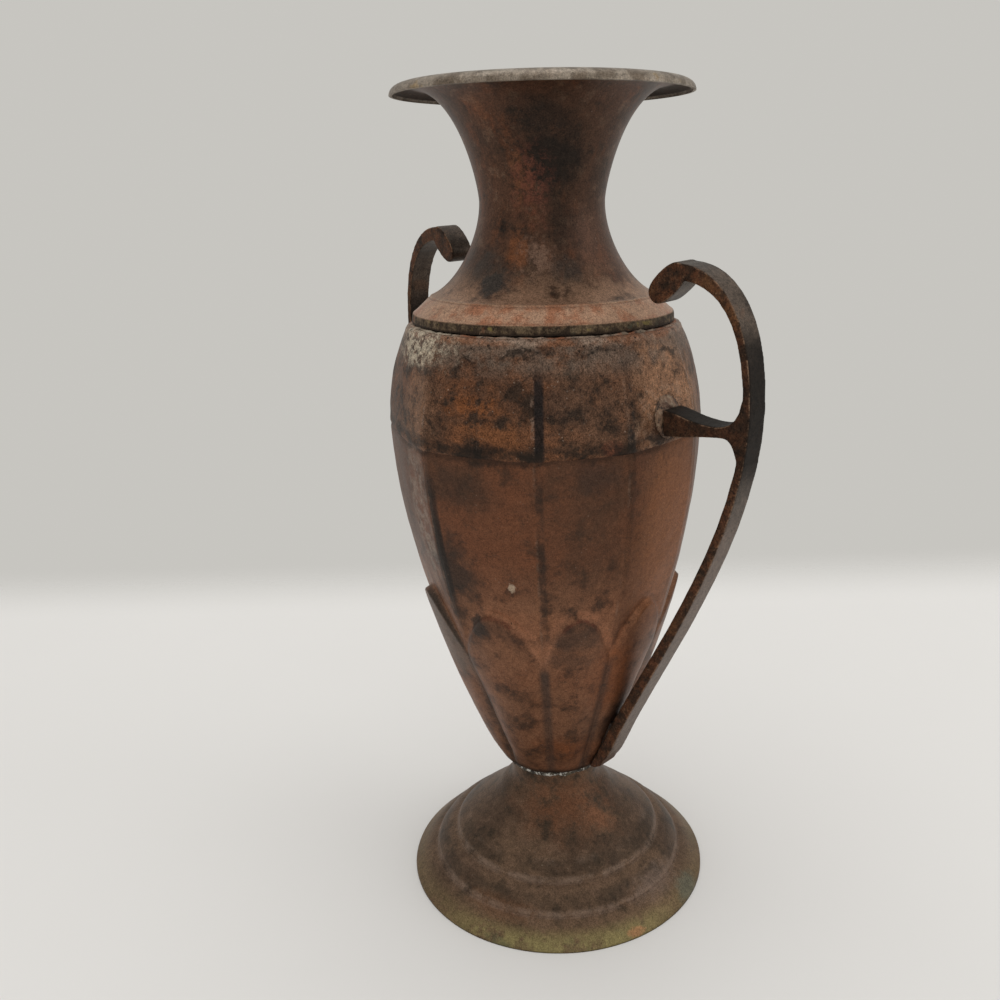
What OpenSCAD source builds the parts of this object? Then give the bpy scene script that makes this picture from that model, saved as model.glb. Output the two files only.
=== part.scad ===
// Two-handled copper urn vase on a spun foot.
// Millimetres, +Z up, origin at the centre of the plane the foot stands on.
// The right handle lies on +X. The vase is seen from about 43 degrees round from -Y towards +X.

/* [Foot] */
// Radius of the edge that the foot stands on
foot_r = 74.6; // [70:0.2:80]
// Height of the foot's upright outer edge
foot_edge_h = 1.2; // [0.8:0.1:2]
// Radius of the lower step pressed into the foot
lower_step_r = 62.4; // [59:0.2:65]
// Height of the lower step above the ground
lower_step_z = 10.4; // [8:0.2:12]
// Radius of the upper step pressed into the foot
upper_step_r = 51.4; // [48:0.2:54]
// Height of the upper step above the ground
upper_step_z = 20.8; // [18:0.2:23]
// Rise of each pressed step
step_h = 1.2; // [0.6:0.1:2]
// Radius where the foot's dome runs into the stem
dome_top_r = 28.5; // [26:0.5:32]
// Height where the foot's dome runs into the stem
dome_top_z = 43; // [38:0.5:46]
// Radius of the stem under the body
stem_r = 21.4; // [19:0.2:23.4]
// Height of the whole foot, ground to stem top
foot_h = 64; // [60:0.5:70]
// Thickness of the foot's copper sheet
foot_sheet = 1.2; // [0.8:0.1:1.6]

/* [Body] */
// Height of the body, from its base to its top at the axis
body_h = 217; // [200:1:240]
// Crease radius at the base of the body
base_r = 25.9; // [25:0.1:28]
// Crease radius at the widest part of the body
widest_r = 71.6; // [68:0.2:76]
// Height of the widest part above the base
widest_h = 173; // [165:1:180]
// Crease radius at the top of the shoulder
shoulder_r = 59.9; // [58.5:0.1:62]
// Thickness of the body's copper sheet
body_sheet = 1.4; // [1:0.1:1.8]
// How far the lower half's tongue reaches up inside the upper half
seam_lap = 5; // [3:0.5:8]
// Number of raised panels round the body
panel_count = 10; // [8:1:12]
// How far the panels bulge between their creases, from 0, flat, to 1, round
panel_bulge = 0.4; // [0:0.05:0.8]
// How far the hand-raised creases wander, 0 for even spacing
crease_wander = 1; // [0:0.1:1]
// Height of the arch tops above the base
arch_h = 99; // [92:0.5:104]
// Height above the base where neighbouring arches meet
spring_h = 73; // [68:0.5:78]
// How far the lobes stand proud of the creases
lobe_proud = 1.1; // [0.8:0.1:1.8]
// Radius of the opening in the body's top ledge
mouth_r = 49; // [44:0.5:52]

/* [Neck] */
// Outer radius of the turned-down collar
collar_r = 57.6; // [56.5:0.1:58.2]
// Height of the turned-down collar
collar_h = 4.2; // [3:0.2:5]
// Radius of the ring line on the collar's sloping top
ring_r = 49.4; // [47:0.2:51]
// Rise of the collar's sloping top
collar_rise = 6.2; // [5:0.2:8]
// Outer radius of the throat
throat_r = 27; // [25:0.2:30]
// Height of the throat above the collar's lower edge
throat_h = 50; // [46:0.5:54]
// Outer radius of the drooping lip
lip_r = 63.7; // [60:0.2:66]
// Height of the lip's crest above the collar's lower edge
lip_h = 97.6; // [92:0.2:104]
// Depth that the lip droops
lip_droop = 3.4; // [2:0.2:5]
// Thickness of the neck's copper sheet
neck_sheet = 1.4; // [1:0.1:1.8]
// Lean of the neck away from upright, in degrees
neck_lean = 2.8; // [0:0.1:4]
// Direction the neck leans towards, in degrees from +X
lean_towards = 105; // [0:5:355]
// Thickness of the solder bed between the body's ledge and the collar
shoulder_bed = 1; // [0.5:0.1:2]

/* [Handles] */
// Width of the cast handles, along the body's girth
handle_w = 11.5; // [9:0.5:14]
// Thickness of the strap below its crown
crown_t = 3.5; // [3:0.1:5]
// Thickness of the strap at its heel
heel_t = 6.2; // [4.6:0.1:6.5]
// Distance of the strap's outermost point from the axis
handle_reach = 111; // [106:0.5:118]
// Height of that outermost point above the body's base
reach_h = 192; // [186:1:198]
// Height of the crown above the body's base
crown_h = 246.5; // [240:0.5:254]
// Distance of the crown from the axis
crown_out = 78; // [76:0.5:81]
// Length of the scroll's rolled head, along its slant
scroll_l = 20.6; // [18:0.2:23]
// Width of the scroll's rolled head, across its slant
scroll_w = 10.8; // [9:0.2:13]
// Height of the heel's lower end above the body's base
heel_h = 3; // [2:0.5:8]
// Height of the spur's middle above the body's base
spur_h = 182.6; // [180:0.2:188]
// Thickness of the spur at its slimmest
spur_t = 4.6; // [4:0.1:7.5]
// Height of the spur's flared end on the body
spur_end_h = 11; // [9:0.5:14]
// Direction of the left handle, in degrees from the right one
left_turn = 170.4; // [165:0.1:180]
// How much higher the left handle is set
left_rise = 8.4; // [0:0.2:10]

/* [Solder] */
// Radius of the solder pad round each spur
spur_pad_r = 9.5; // [8:0.5:10]
// Thickness of the solder pad at the spur
spur_pad_t = 1.2; // [0.6:0.1:2]
// Gap that solder fills between a handle's heel and the body
heel_gap = 0.4; // [0.3:0.1:1]
// Width of the solder under each heel
heel_bed_w = 8; // [5:0.5:9]
// Height that the solder runs up behind each heel
heel_bed_h = 30; // [20:1:36]
// Width of the solder fillet round the stem's top
base_fillet = 2.6; // [1.5:0.1:3]

/* [Hidden] */
$fn = 96;

copper = "#6b4431";
dark_copper = "#54392c";
cast_brown = "#5a4133";
solder_grey = "#8f8878";

// Heights above the ground that several pieces share
base_z = foot_h;
seam_z = base_z + widest_h;
top_z = base_z + body_h;
arch_z = base_z + arch_h;
spring_z = base_z + spring_h;
collar_z = top_z + shoulder_bed;
// Half the size of a block that is larger than the whole vase
far = 90;
// Steps along one curve
curve_steps = 9;

// How far each found crease lies from even spacing, starting at the right handle's panel
found_wander = [-0.3, -2, -3.7, -5.3, -7, -8.7, -10.3, -12, -1.7, 3.7];

function bezier(p, t) =
    pow(1 - t, 3) * p[0] + 3 * t * pow(1 - t, 2) * p[1] + 3 * t * t * (1 - t) * p[2] + pow(t, 3) * p[3];
function curve(p, n = curve_steps) = [for (i = [0:n]) bezier(p, i / n)];
function tail(list) = [for (i = [1:len(list) - 1]) list[i]];
function reversed(list) = [for (i = [len(list) - 1:-1:0]) list[i]];
function unit(v) = v / norm(v);
function clamp01(x) = min(max(x, 0), 1);
function mix(a, b, t) = a * (1 - t) + b * t;
// Ends and pull points of one curve: each pull is its share of the way from p to q, across and up
function bent(p, q, pulls) =
    [p, for (pull = pulls) [mix(p[0], q[0], pull[0]), mix(p[1], q[1], pull[1])], q];
// A path moved sideways, to the left of the way it runs
function beside(path, w) =
    [for (i = [0:len(path) - 1])
        let (last = len(path) - 1, d = unit(path[min(i + 1, last)] - path[max(i - 1, 0)]))
            path[i] + w * [-d[1], d[0]]];

// Body profile: crease radius against height
belly_pulls = [[0.43, 0.24], [1, 0.68]];
shoulder_pulls = [[0, 0.44], [0.56, 0.78]];
lower_curve = bent([base_r, base_z], [widest_r, seam_z], belly_pulls);
upper_curve = bent([widest_r, seam_z], [shoulder_r, top_z], shoulder_pulls);
// The shoulder runs on past its top at the same slope, for the leaning cut to trim
shoulder_over = 6;
shoulder_end = shoulder_over * unit(upper_curve[3] - upper_curve[2]) + upper_curve[3];
lower_profile = curve(lower_curve, 12);
upper_profile = concat(curve(upper_curve, 10), [shoulder_end]);
profile_table = [for (p = concat(lower_profile, tail(upper_profile))) [p[1], p[0]]];
function crease_r(z) = lookup(z, profile_table);

// Creases fade out between these heights, where the shoulder turns round
fade_share = 0.45;
fade_from = mix(seam_z, top_z, fade_share);
fade_to = top_z - shoulder_bed;
function fade(z) = clamp01((z - fade_from) / (fade_to - fade_from));

// Panels: crease i is the start of panel i
step_angle = 360 / panel_count;
function wander(i) = crease_wander * (i < len(found_wander) ? found_wander[i] : 0);
function crease_angle(i) =
    i >= panel_count ? crease_angle(i - panel_count) + 360 : (i - 0.5) * step_angle + wander(i);
function panel_angle(i) = (crease_angle(i) + crease_angle(i + 1)) / 2;
function panel_half(i) = (crease_angle(i + 1) - crease_angle(i)) / 2;
function flat_r(i, z) = crease_r(z) * mix(mix(cos(panel_half(i)), 1, panel_bulge), 1, fade(z));

// The plane that touches one panel's middle, curved only up and down, as a block past the far side
module panel_block(i, profile, inset) {
    low = profile[0][1];
    high = profile[len(profile) - 1][1];
    face = [for (p = profile) [flat_r(i, p[1]) - inset, p[1]]];
    rotate([0, 0, panel_angle(i)])
        rotate([90, 0, 0])
            linear_extrude(2 * far, center = true)
                polygon(concat([[-far, low]], face, [[-far, high]]));
}

// Lobes: each panel of the lower half carries a tongue with an arched top, raised from inside.
// The net of the sheet follows the arch: columns 0 to 3 lie on the tongue, 4 and 5 outside it.
tongue_columns = 3;
half_columns = 5;
arch_power = 0.52;
narrowest = 0.12;
widest = 0.84;
arch_step = 0.08;
lobe_ramp = 12;
groove_depth = 1.8;
groove_run = 24;
// Height over which a tongue's top steps up, and how far its top edge is rounded down
lip_step = 1.6;
lip_round = 0.8;
lip_power = 4;

function arch_part(z) = clamp01((arch_z - z) / (arch_z - spring_z));
// Above the arches the net's columns spread out evenly again
function tongue_half(z) =
    z > arch_z ? mix(narrowest, tongue_columns / half_columns, clamp01((z - arch_z) / (arch_z - spring_z)))
               : min(max(pow(arch_part(z), arch_power), narrowest), widest);
function column(k, z) =
    let (n = abs(k), w = tongue_half(z))
        sign(k) * (n <= tongue_columns ? w * n / tongue_columns : n == half_columns ? 1 : w + arch_step);
function flat_at(i, u, z) = crease_r(z) * mix(cos(panel_half(i)) / cos(u * panel_half(i)), 1, panel_bulge);
function lobe_at(u, z) =
    let (crown = crease_r(z) + lobe_proud * clamp01((z - base_z) / lobe_ramp)
                 - lip_round * pow(1 - arch_part(z), lip_power),
         groove = crease_r(z) - groove_depth * clamp01((spring_z - z) / groove_run)
                                * clamp01((z - base_z) / lobe_ramp))
        mix(crown, groove, u * u);
function sheet_r(i, k, z) =
    let (u = column(k, z))
        z > arch_z ? flat_at(i, u, z)
        : abs(k) <= tongue_columns || z < spring_z ? lobe_at(u, z)
        : flat_at(i, u, z);
// A ring of points right round the sheet at one height
function ring(z, out, inset) =
    [for (i = [0:panel_count - 1]) for (k = [-half_columns:half_columns - 1])
        let (a = panel_angle(i) + column(k, z) * panel_half(i), r = sheet_r(i, k, z) - inset)
            [r * cos(a), r * sin(a), out]];

// Heights of the net's rings, closer together where the arches turn
low_shares = [0.04, 0.13, 0.3, 0.5, 0.72, 0.9];
arch_shares = [1, 0.8, 0.6, 0.42, 0.28, 0.16, 0.07];
high_shares = [0.2, 0.45, 0.7, 1];
sheet_rows = concat(
    [for (t = low_shares) mix(base_z, spring_z, t)],
    [for (t = arch_shares) mix(arch_z, spring_z, t)],
    [arch_z, arch_z + lip_step],
    [for (t = high_shares) mix(arch_z + lip_step, seam_z, t)]);

// Skin through a stack of rings of equal length, closed by a flat face at each end
module skin(rings) {
    n = len(rings[0]);
    last = len(rings) - 1;
    points = [for (r = rings) for (p = r) p];
    sides = [for (j = [0:last - 1]) for (i = [0:n - 1])
        let (a = j * n + i, b = j * n + (i + 1) % n)
            each [[a, a + n, b], [b, a + n, b + n]]];
    ends = [[for (i = [0:n - 1]) i], [for (i = [n - 1:-1:0]) last * n + i]];
    polyhedron(points, concat(sides, ends), convexity = 6);
}

// The same, but the last ring joins the first again, as round a tube's wall
module closed_skin(rings) {
    n = len(rings[0]);
    count = len(rings);
    points = [for (r = rings) for (p = r) p];
    sides = [for (j = [0:count - 1]) for (i = [0:n - 1])
        let (k = (j + 1) % count, next = (i + 1) % n,
             a = j * n + i, b = j * n + next, c = k * n + i, d = k * n + next)
            each [[a, c, b], [b, c, d]]];
    polyhedron(points, sides, convexity = 6);
}

// A plain block of revolution between two heights, used to trim
module slab(low, high, r = far) {
    translate([0, 0, low]) cylinder(h = high - low, r = r);
}

// Everything above the body leans together about the body's top
module leaning() {
    translate([0, 0, top_z])
        rotate([0, 0, lean_towards])
            rotate([0, neck_lean, 0])
                rotate([0, 0, -lean_towards])
                    translate([0, 0, -top_z])
                        children();
}

// Spun sections between the foot's edge, its two steps, the dome and the stem
flange_pulls = [[0.26, 0.27], [0.62, 0.88]];
tread_pulls = [[0.17, 0.4], [0.58, 0.88]];
dome_pulls = [[0.08, 0.2], [0.75, 0.65]];
stem_pulls = [[0.42, 0.38], [1, 0.5]];
// Each step's riser leans by this much, and the stem takes this height to turn upright
riser_lean = 0.3;
stem_sweep = 11;
foot_path = concat(
    [[foot_r, 0]],
    curve(bent([foot_r, foot_edge_h], [lower_step_r + riser_lean, lower_step_z], flange_pulls), 5),
    curve(bent([lower_step_r, lower_step_z + step_h],
               [upper_step_r + riser_lean, upper_step_z], tread_pulls), 5),
    curve(bent([upper_step_r, upper_step_z + step_h], [dome_top_r, dome_top_z], dome_pulls), 8),
    tail(curve(bent([dome_top_r, dome_top_z], [stem_r, dome_top_z + stem_sweep], stem_pulls), 5)),
    [[stem_r, foot_h]]);

module sheet_of_revolution(path, thickness) {
    rotate_extrude()
        polygon(concat(path, reversed(beside(path, thickness))));
}

module foot() {
    color(dark_copper)
        intersection() {
            sheet_of_revolution(foot_path, foot_sheet);
            slab(0, foot_h);
        }
}

// The solder's hollow face, as a share of the fillet's width at half its height
fillet_hollow = 0.35;

module base_solder() {
    color(solder_grey)
        rotate_extrude()
            polygon([[stem_r, base_z - base_fillet],
                     [stem_r + fillet_hollow * base_fillet, base_z - base_fillet / 2],
                     [stem_r + base_fillet, base_z], [stem_r, base_z]]);
}

// The base's lower edge is dressed round
base_round = 2.4;
// Running clearance of the lapped seam, and the thickness of its tongue and of the body's floor
lap_gap = 0.05;
tongue_t = 1.2;
floor_t = 1.6;

module body_lower() {
    // The lap's tongue stands inside the upper half, inset by that half's sheet
    lap_out = body_sheet + lap_gap;
    lap_in = lap_out + tongue_t;
    rows = [for (z = sheet_rows) ring(z, z, 0)];
    inner_rows = reversed([for (z = sheet_rows) if (z < seam_z - body_sheet) ring(z, z, body_sheet)]);
    color(copper)
        skin(concat([ring(base_z, base_z, base_round)], rows,
                    [ring(seam_z, seam_z, lap_out), ring(seam_z, seam_z + seam_lap, lap_out),
                     ring(seam_z, seam_z + seam_lap, lap_in), ring(seam_z, seam_z - seam_lap, lap_in)],
                    inner_rows,
                    [ring(base_z + floor_t, base_z + floor_t, base_round + body_sheet)]));
}

// The upper half's top is cut along the plane that the neck sits on, and turned in as a ledge
function plane_z(p, drop) =
    top_z - drop - tan(neck_lean) * (p[0] * cos(lean_towards) + p[1] * sin(lean_towards));
function on_plane(points, drop) = [for (p = points) [p[0], p[1], plane_z(p, drop)]];
rim_low = top_z - tan(neck_lean) * widest_r - 2 * body_sheet;
upper_columns = 3;
upper_steps = 7;
function shoulder_ring(z, inset) =
    [for (i = [0:panel_count - 1]) for (k = [-upper_columns:upper_columns - 1])
        let (u = k / upper_columns, a = panel_angle(i) + u * panel_half(i),
             r = mix(flat_at(i, u, z), crease_r(z), fade(z)) - inset)
            [r * cos(a), r * sin(a), z]];
function round_ring(r) =
    [for (i = [0:panel_count - 1]) for (k = [-upper_columns:upper_columns - 1])
        let (a = panel_angle(i) + k / upper_columns * panel_half(i)) [r * cos(a), r * sin(a), 0]];

module body_upper() {
    levels = [for (i = [0:upper_steps]) mix(seam_z, rim_low, i / upper_steps)];
    outer_rows = [for (z = levels) shoulder_ring(z, 0)];
    inner_rows = [for (z = tail(reversed(levels))) shoulder_ring(z, body_sheet)];
    edge = shoulder_ring(top_z, 0);
    inner_edge = shoulder_ring(top_z, body_sheet);
    color(copper)
        closed_skin(concat(outer_rows,
                           [on_plane(edge, 0), on_plane(round_ring(mouth_r), 0),
                            on_plane(round_ring(mouth_r), body_sheet), on_plane(inner_edge, body_sheet)],
                           inner_rows));
}

// How far the solder bed keeps back from the ledge's hole and from the collar's edge, below and above
bed_back = [1.5, 3];
bed_edge = [1.2, 0.6];

module shoulder_solder() {
    color(solder_grey)
        leaning()
            rotate_extrude()
                polygon([[mouth_r + bed_back[0], top_z], [collar_r - bed_edge[0], top_z],
                         [collar_r - bed_edge[1], collar_z], [mouth_r + bed_back[1], collar_z]]);
}

// Sections of the neck: the collar's bevelled edge, the ring line, the flare, the trumpet and the lip
collar_bevel = [0.6, 0.8];
ring_line = [0.5, 0.6];
flare_pulls = [[0.53, 0.12], [1, 0.62]];
trumpet_pulls = [[0, 0.15], [0.28, 1]];
droop_pulls = [[0.49, 0], [1, 0.3]];
// How far in from the lip's edge its droop starts
droop_run = 7.5;
slope_top = collar_h + collar_rise;
ring_foot = [ring_r, slope_top + ring_line[1]];
lip_crest = [lip_r - droop_run, lip_h - neck_sheet];
neck_path = concat(
    [[collar_r, 0], [collar_r, collar_h - collar_bevel[1]], [collar_r - collar_bevel[0], collar_h]],
    [[ring_r + ring_line[0], slope_top], ring_foot],
    tail(curve(bent(ring_foot, [throat_r, throat_h], flare_pulls))),
    tail(curve(bent([throat_r, throat_h], lip_crest, trumpet_pulls), 12)),
    tail(curve(bent(lip_crest, [lip_r - neck_sheet, lip_crest[1] - lip_droop], droop_pulls), 5)));

module neck() {
    color(copper)
        leaning()
            translate([0, 0, collar_z])
                sheet_of_revolution(neck_path, neck_sheet);
}

// Handles: a flat strap cast in one with its scroll and spur, drawn in the plane that holds the axis.
// rise is how much higher than the right handle it sits; panel is the panel its spur is soldered to.
heel_bow = 15;
slope = 0.88;
scroll_back = 3;
// The scroll's head: its middle from the crown, its slant, and how square its ends are
head_at = [-6.4, -7.9];
head_slant = 40.7;
head_square = 0.8;
head_points = 40;
// The strap swells by this share towards its crown, mostly close to it
crown_swell = 0.9;
swell_power = 4;
// The strap's thickness is down to its crown's at this share of the crown's height
taper_share = 0.75;
// Rounded end of the heel, out and up from its inner corner, and how far it lies flat on the body
heel_nose = [[3, 0.2], [5.4, 2.4], [7.4, 6.5]];
heel_flat = 8;
rising_pulls = [[0.295, 0.27], [1, 0.68]];
crown_pulls = [[0, 0.84], [0.645, 1]];
crown_dip = 0.6;

function body_clear(z) = lobe_at(0, z) + heel_gap;
function heel_z(rise) = base_z + heel_h + rise;
function strap_t(z, rise) =
    let (up = z - base_z - rise, taper = clamp01(up / (taper_share * crown_h)),
         swell = pow(clamp01((up - reach_h) / (crown_h - reach_h)), swell_power))
        mix(heel_t, crown_t, taper) * (1 + crown_swell * swell);

function strap_outer(rise) =
    let (z0 = heel_z(rise), z1 = z0 + heel_bow, x0 = body_clear(z0),
         bow = [body_clear(z1) + heel_t / slope, z1],
         reach = [handle_reach, base_z + reach_h + rise],
         crown = [crown_out, base_z + crown_h + rise])
        concat([for (n = heel_nose) [x0, z0] + n],
               curve(bent(bow, reach, rising_pulls), 14),
               tail(curve(bent(reach, crown, crown_pulls), 12)),
               [crown - [scroll_back, crown_dip]]);

function strap_inner(rise) =
    let (outer = strap_outer(rise), last = len(outer) - 1, z0 = heel_z(rise))
        concat([for (i = [last:-1:len(heel_nose) + 1])
                   let (d = unit(outer[min(i + 1, last)] - outer[i - 1]),
                        q = outer[i] + strap_t(outer[i][1], rise) * [-d[1], d[0]])
                       [max(q[0], body_clear(q[1])), q[1]]],
               [for (h = [heel_flat, 0]) [body_clear(z0 + h), z0 + h]]);

// Outline of the scroll's head about the crown: an oval with blunt ends
function blunt(x) = sign(x) * pow(abs(x), head_square);
head_outline = [for (i = [0:head_points - 1])
    let (a = 360 * i / head_points, p = blunt(cos(a)) * scroll_l / 2, q = blunt(sin(a)) * scroll_w / 2)
        head_at + [p * cos(head_slant) - q * sin(head_slant), p * sin(head_slant) + q * cos(head_slant)]];

// The spur seats on its solder pad, clear of the widest point that the pad covers
function spur_z(rise) = base_z + spur_h + rise;
function seat_x(panel, rise) =
    max([for (side = [-1, 0, 1]) flat_r(panel, spur_z(rise) + side * spur_end_h / 2)]) + spur_pad_t;

// The spur's two fillets into the strap: depth from the strap's outside, and height above and below
fillet_in = 18;
fillet_up = 14;
fillet_down = 12;
fillet_under = 12;
// How deep the spur's root is sunk in the strap, and where its fillets leave the strap
root_sink = [2, 4, 5];
under_share = 0.8;
upper_fillet = [[0.11, 0.91], [0.57, 1]];
upper_edge = [[0.45, 0], [0.7, 1]];
lower_edge = [[0.28, 0], [0.63, 0.83]];
lower_fillet = [[0.57, 0], [0.71, 0.38]];

function spur_outline(panel, rise) =
    let (z = spur_z(rise), x = seat_x(panel, rise), r = handle_reach, t = spur_t / 2, e = spur_end_h / 2,
         neck_top = [r - fillet_in, z + t], neck_low = [r - fillet_under, z - under_share * t])
        concat([[r - root_sink[0], z + fillet_up]],
               curve(bent([r - root_sink[1], z + fillet_up], neck_top, upper_fillet), 6),
               tail(curve(bent(neck_top, [x, z + e], upper_edge), 6)),
               curve(bent([x, z - e], neck_low, lower_edge), 6),
               tail(curve(bent(neck_low, [r - root_sink[2], z - fillet_down], lower_fillet), 5)),
               [[r - root_sink[0], z - fillet_down]]);

// A flat outline in the handle's plane, given the handle's width
module upright(width, outline) {
    rotate([90, 0, 0])
        linear_extrude(width, center = true)
            polygon(outline);
}

module handle(panel, rise) {
    upright(handle_w, concat(strap_outer(rise), strap_inner(rise)));
    upright(handle_w, spur_outline(panel, rise));
    upright(handle_w, [for (q = head_outline) [crown_out + q[0], base_z + crown_h + rise + q[1]]]);
}

// Solder pad round a spur: a low cone whose back lies on the panel
pad_in = 6;
pad_spread = 1.5;
pad_tip = 0.7;

module spur_solder(panel, rise, turn) {
    difference() {
        rotate([0, 0, turn])
            translate([seat_x(panel, rise) - pad_in, 0, spur_z(rise)])
                rotate([0, 90, 0])
                    cylinder(h = pad_in, r1 = pad_spread * spur_pad_r, r2 = pad_tip * spur_pad_r);
        panel_block(panel, concat(lower_profile, tail(upper_profile)), 0);
    }
}

// Solder between heel and body, as high as the heel lies close: it stops short of both by these gaps
body_side_gap = 0.1;
heel_side_gap = 0.02;

module heel_solder(rise) {
    heel_side = [for (p = strap_inner(rise)) if (p[1] < heel_z(rise) + heel_bed_h) p];
    upright(heel_bed_w,
            concat([for (p = heel_side) p - [heel_side_gap, 0]],
                   [for (p = reversed(heel_side)) [lobe_at(0, p[1]) + body_side_gap, p[1]]]));
}

right_panel = 0;
left_panel = floor(panel_count / 2);

module handle_right() {
    color(cast_brown) handle(right_panel, 0);
}

module handle_left() {
    color(cast_brown) rotate([0, 0, left_turn]) handle(left_panel, left_rise);
}

module spur_solder_right() {
    color(solder_grey) spur_solder(right_panel, 0, 0);
}

module spur_solder_left() {
    color(solder_grey) spur_solder(left_panel, left_rise, left_turn);
}

module heel_solder_right() {
    color(solder_grey) heel_solder(0);
}

module heel_solder_left() {
    color(solder_grey) rotate([0, 0, left_turn]) heel_solder(left_rise);
}

foot();
base_solder();
body_lower();
body_upper();
shoulder_solder();
neck();
handle_right();
handle_left();
spur_solder_right();
spur_solder_left();
heel_solder_right();
heel_solder_left();
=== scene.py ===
import math

import bmesh
import bpy
import numpy as np
from mathutils import Matrix, Vector, noise


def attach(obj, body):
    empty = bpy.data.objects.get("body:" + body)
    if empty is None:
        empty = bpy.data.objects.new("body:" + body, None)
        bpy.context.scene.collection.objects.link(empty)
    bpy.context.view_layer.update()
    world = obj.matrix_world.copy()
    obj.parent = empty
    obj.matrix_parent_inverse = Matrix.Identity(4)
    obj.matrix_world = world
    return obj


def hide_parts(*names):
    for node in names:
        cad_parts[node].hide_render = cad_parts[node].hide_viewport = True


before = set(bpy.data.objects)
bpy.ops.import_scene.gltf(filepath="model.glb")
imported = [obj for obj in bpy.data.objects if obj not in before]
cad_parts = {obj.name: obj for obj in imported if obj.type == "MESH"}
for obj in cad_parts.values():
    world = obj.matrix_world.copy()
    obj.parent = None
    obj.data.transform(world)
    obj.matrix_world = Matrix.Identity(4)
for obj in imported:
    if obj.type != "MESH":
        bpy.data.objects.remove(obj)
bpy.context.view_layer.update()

# ---------------------------------------------------------------- foot
# The foot is spun from one disc of copper: a thin flange, two pressed steps, a dome and a short stem.
# It is open underneath. The patina is dark brown, worn pink along the steps, rusty where the stem
# starts and green along the front edge. The pink along the step ridges is partly a painted highlight.

# Every length is in millimetres: a point of a profile is its distance from the axis and its height
MM = 0.001
FOOT_R, STEM_R, FOOT_H, FOOT_SHEET = 74.6, 21.4, 64.0, 1.2
LOW_STEP, LOW_SHELF = (62.9, 10.4), (62.3, 11.6)
HIGH_STEP, HIGH_SHELF = (51.9, 20.8), (51.3, 22.0)
DOME_END, STEM_START = (28.5, 43.0), (STEM_R, 54.0)
FOOT_TURNS = 360


def bent(p, q, pulls, steps):
    """Points of one curve from p to q; each pull is its share of the way across and up."""
    p, q = np.array(p, float), np.array(q, float)
    first, second = (p + (q - p) * pull for pull in pulls)
    t = np.linspace(0, 1, steps + 1)[:, None]
    return (1 - t) ** 3 * p + 3 * t * (1 - t) ** 2 * first + 3 * t * t * (1 - t) * second + t ** 3 * q


def joined(*runs):
    """Runs of points laid end to end, without doubled points."""
    path = np.vstack([np.array(run, float) for run in runs])
    keep = np.r_[True, np.linalg.norm(np.diff(path, axis=0), axis=1) > 1e-6]
    return path[keep]


def beside(path, width):
    """The path moved to the left of the way it runs."""
    d = np.empty_like(path)
    d[1:-1] = path[2:] - path[:-2]
    d[0], d[-1] = path[1] - path[0], path[-1] - path[-2]
    d /= np.linalg.norm(d, axis=1)[:, None]
    return path + width * np.stack([-d[:, 1], d[:, 0]], 1)


def along(path):
    """Length run along a path at each of its points."""
    return np.r_[0, np.cumsum(np.linalg.norm(np.diff(path, axis=0), axis=1))]


def points_at(r, angle, z):
    """Points from their distance from the axis, their angle round it and their height."""
    r, angle, z = np.broadcast_arrays(r, angle, z)
    return np.stack([r * np.cos(angle), r * np.sin(angle), z], -1)


def unevenness(points, size, seed):
    """Smooth noise from -1 to 1 at points, with features of that size."""
    at = np.asarray(points, float) / size + seed
    return np.array([noise.noise(Vector(p)) for p in at.reshape(-1, 3)]).reshape(at.shape[:-1])


def turned(path, turns, dent, dent_size, seed):
    """Rings of points for a path spun round the axis, slightly uneven as handwork is."""
    angle = np.linspace(0, 2 * math.pi, turns, endpoint=False)
    r, z = path[:, :1], path[:, 1:]
    return points_at(r + dent * unevenness(points_at(r, angle, z), dent_size, seed), angle, z)


def sheet_piece(name, rings, marks, sharp):
    """A closed mesh through stacked rings of points. marks are values for each point or ring, and
    edges that turn by more than sharp degrees are shaded as edges."""
    rows, around = rings.shape[:2]
    low = np.arange(rows * around).reshape(rows, around)
    high = np.roll(low, -1, 0)
    faces = np.stack([low, np.roll(low, -1, 1), np.roll(high, -1, 1), high], -1).reshape(-1, 4)
    mesh = bpy.data.meshes.new(name)
    mesh.from_pydata((rings.reshape(-1, 3) * MM).tolist(), [], faces.tolist())
    for key, values in marks.items():
        spread = np.broadcast_to(values, (rows, around)).astype(np.float32)
        mesh.attributes.new(key, "FLOAT", "POINT").data.foreach_set("value", spread.reshape(-1))
    mesh.shade_smooth()
    mesh.set_sharp_from_angle(angle=math.radians(sharp))
    piece = bpy.data.objects.new(name, mesh)
    bpy.context.scene.collection.objects.link(piece)
    return piece


class Shade:
    """A value or colour in a material. Sums on it add Math nodes."""

    def __init__(self, finish, socket):
        self.finish, self.socket = finish, socket

    def worked(self, operation, *values):
        return self.finish.node("Math", {"operation": operation}, dict(enumerate(values)))

    def __add__(self, other):
        return self.worked("ADD", self, other)

    def __sub__(self, other):
        return self.worked("SUBTRACT", self, other)

    def __rsub__(self, other):
        return self.worked("SUBTRACT", other, self)

    def __mul__(self, other):
        return self.worked("MULTIPLY", self, other)

    def __abs__(self):
        return self.worked("ABSOLUTE", self)

    __radd__, __rmul__ = __add__, __mul__

    def larger(self, other):
        return self.worked("MAXIMUM", self, other)

    def step(self, off, on):
        """Rises smoothly from 0 to 1 as the value goes from off to on, whichever is the larger."""
        ends = (off, on, 0.0, 1.0) if off < on else (on, off, 1.0, 0.0)
        sockets = dict(zip(("From Min", "From Max", "To Min", "To Max"), ends), Value=self)
        return self.finish.node("MapRange", {"interpolation_type": "SMOOTHSTEP"}, sockets)

    def band(self, middle, half, soft):
        """1 within half of middle, fading out over soft."""
        return abs(self - middle).step(half + soft, half)


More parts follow.
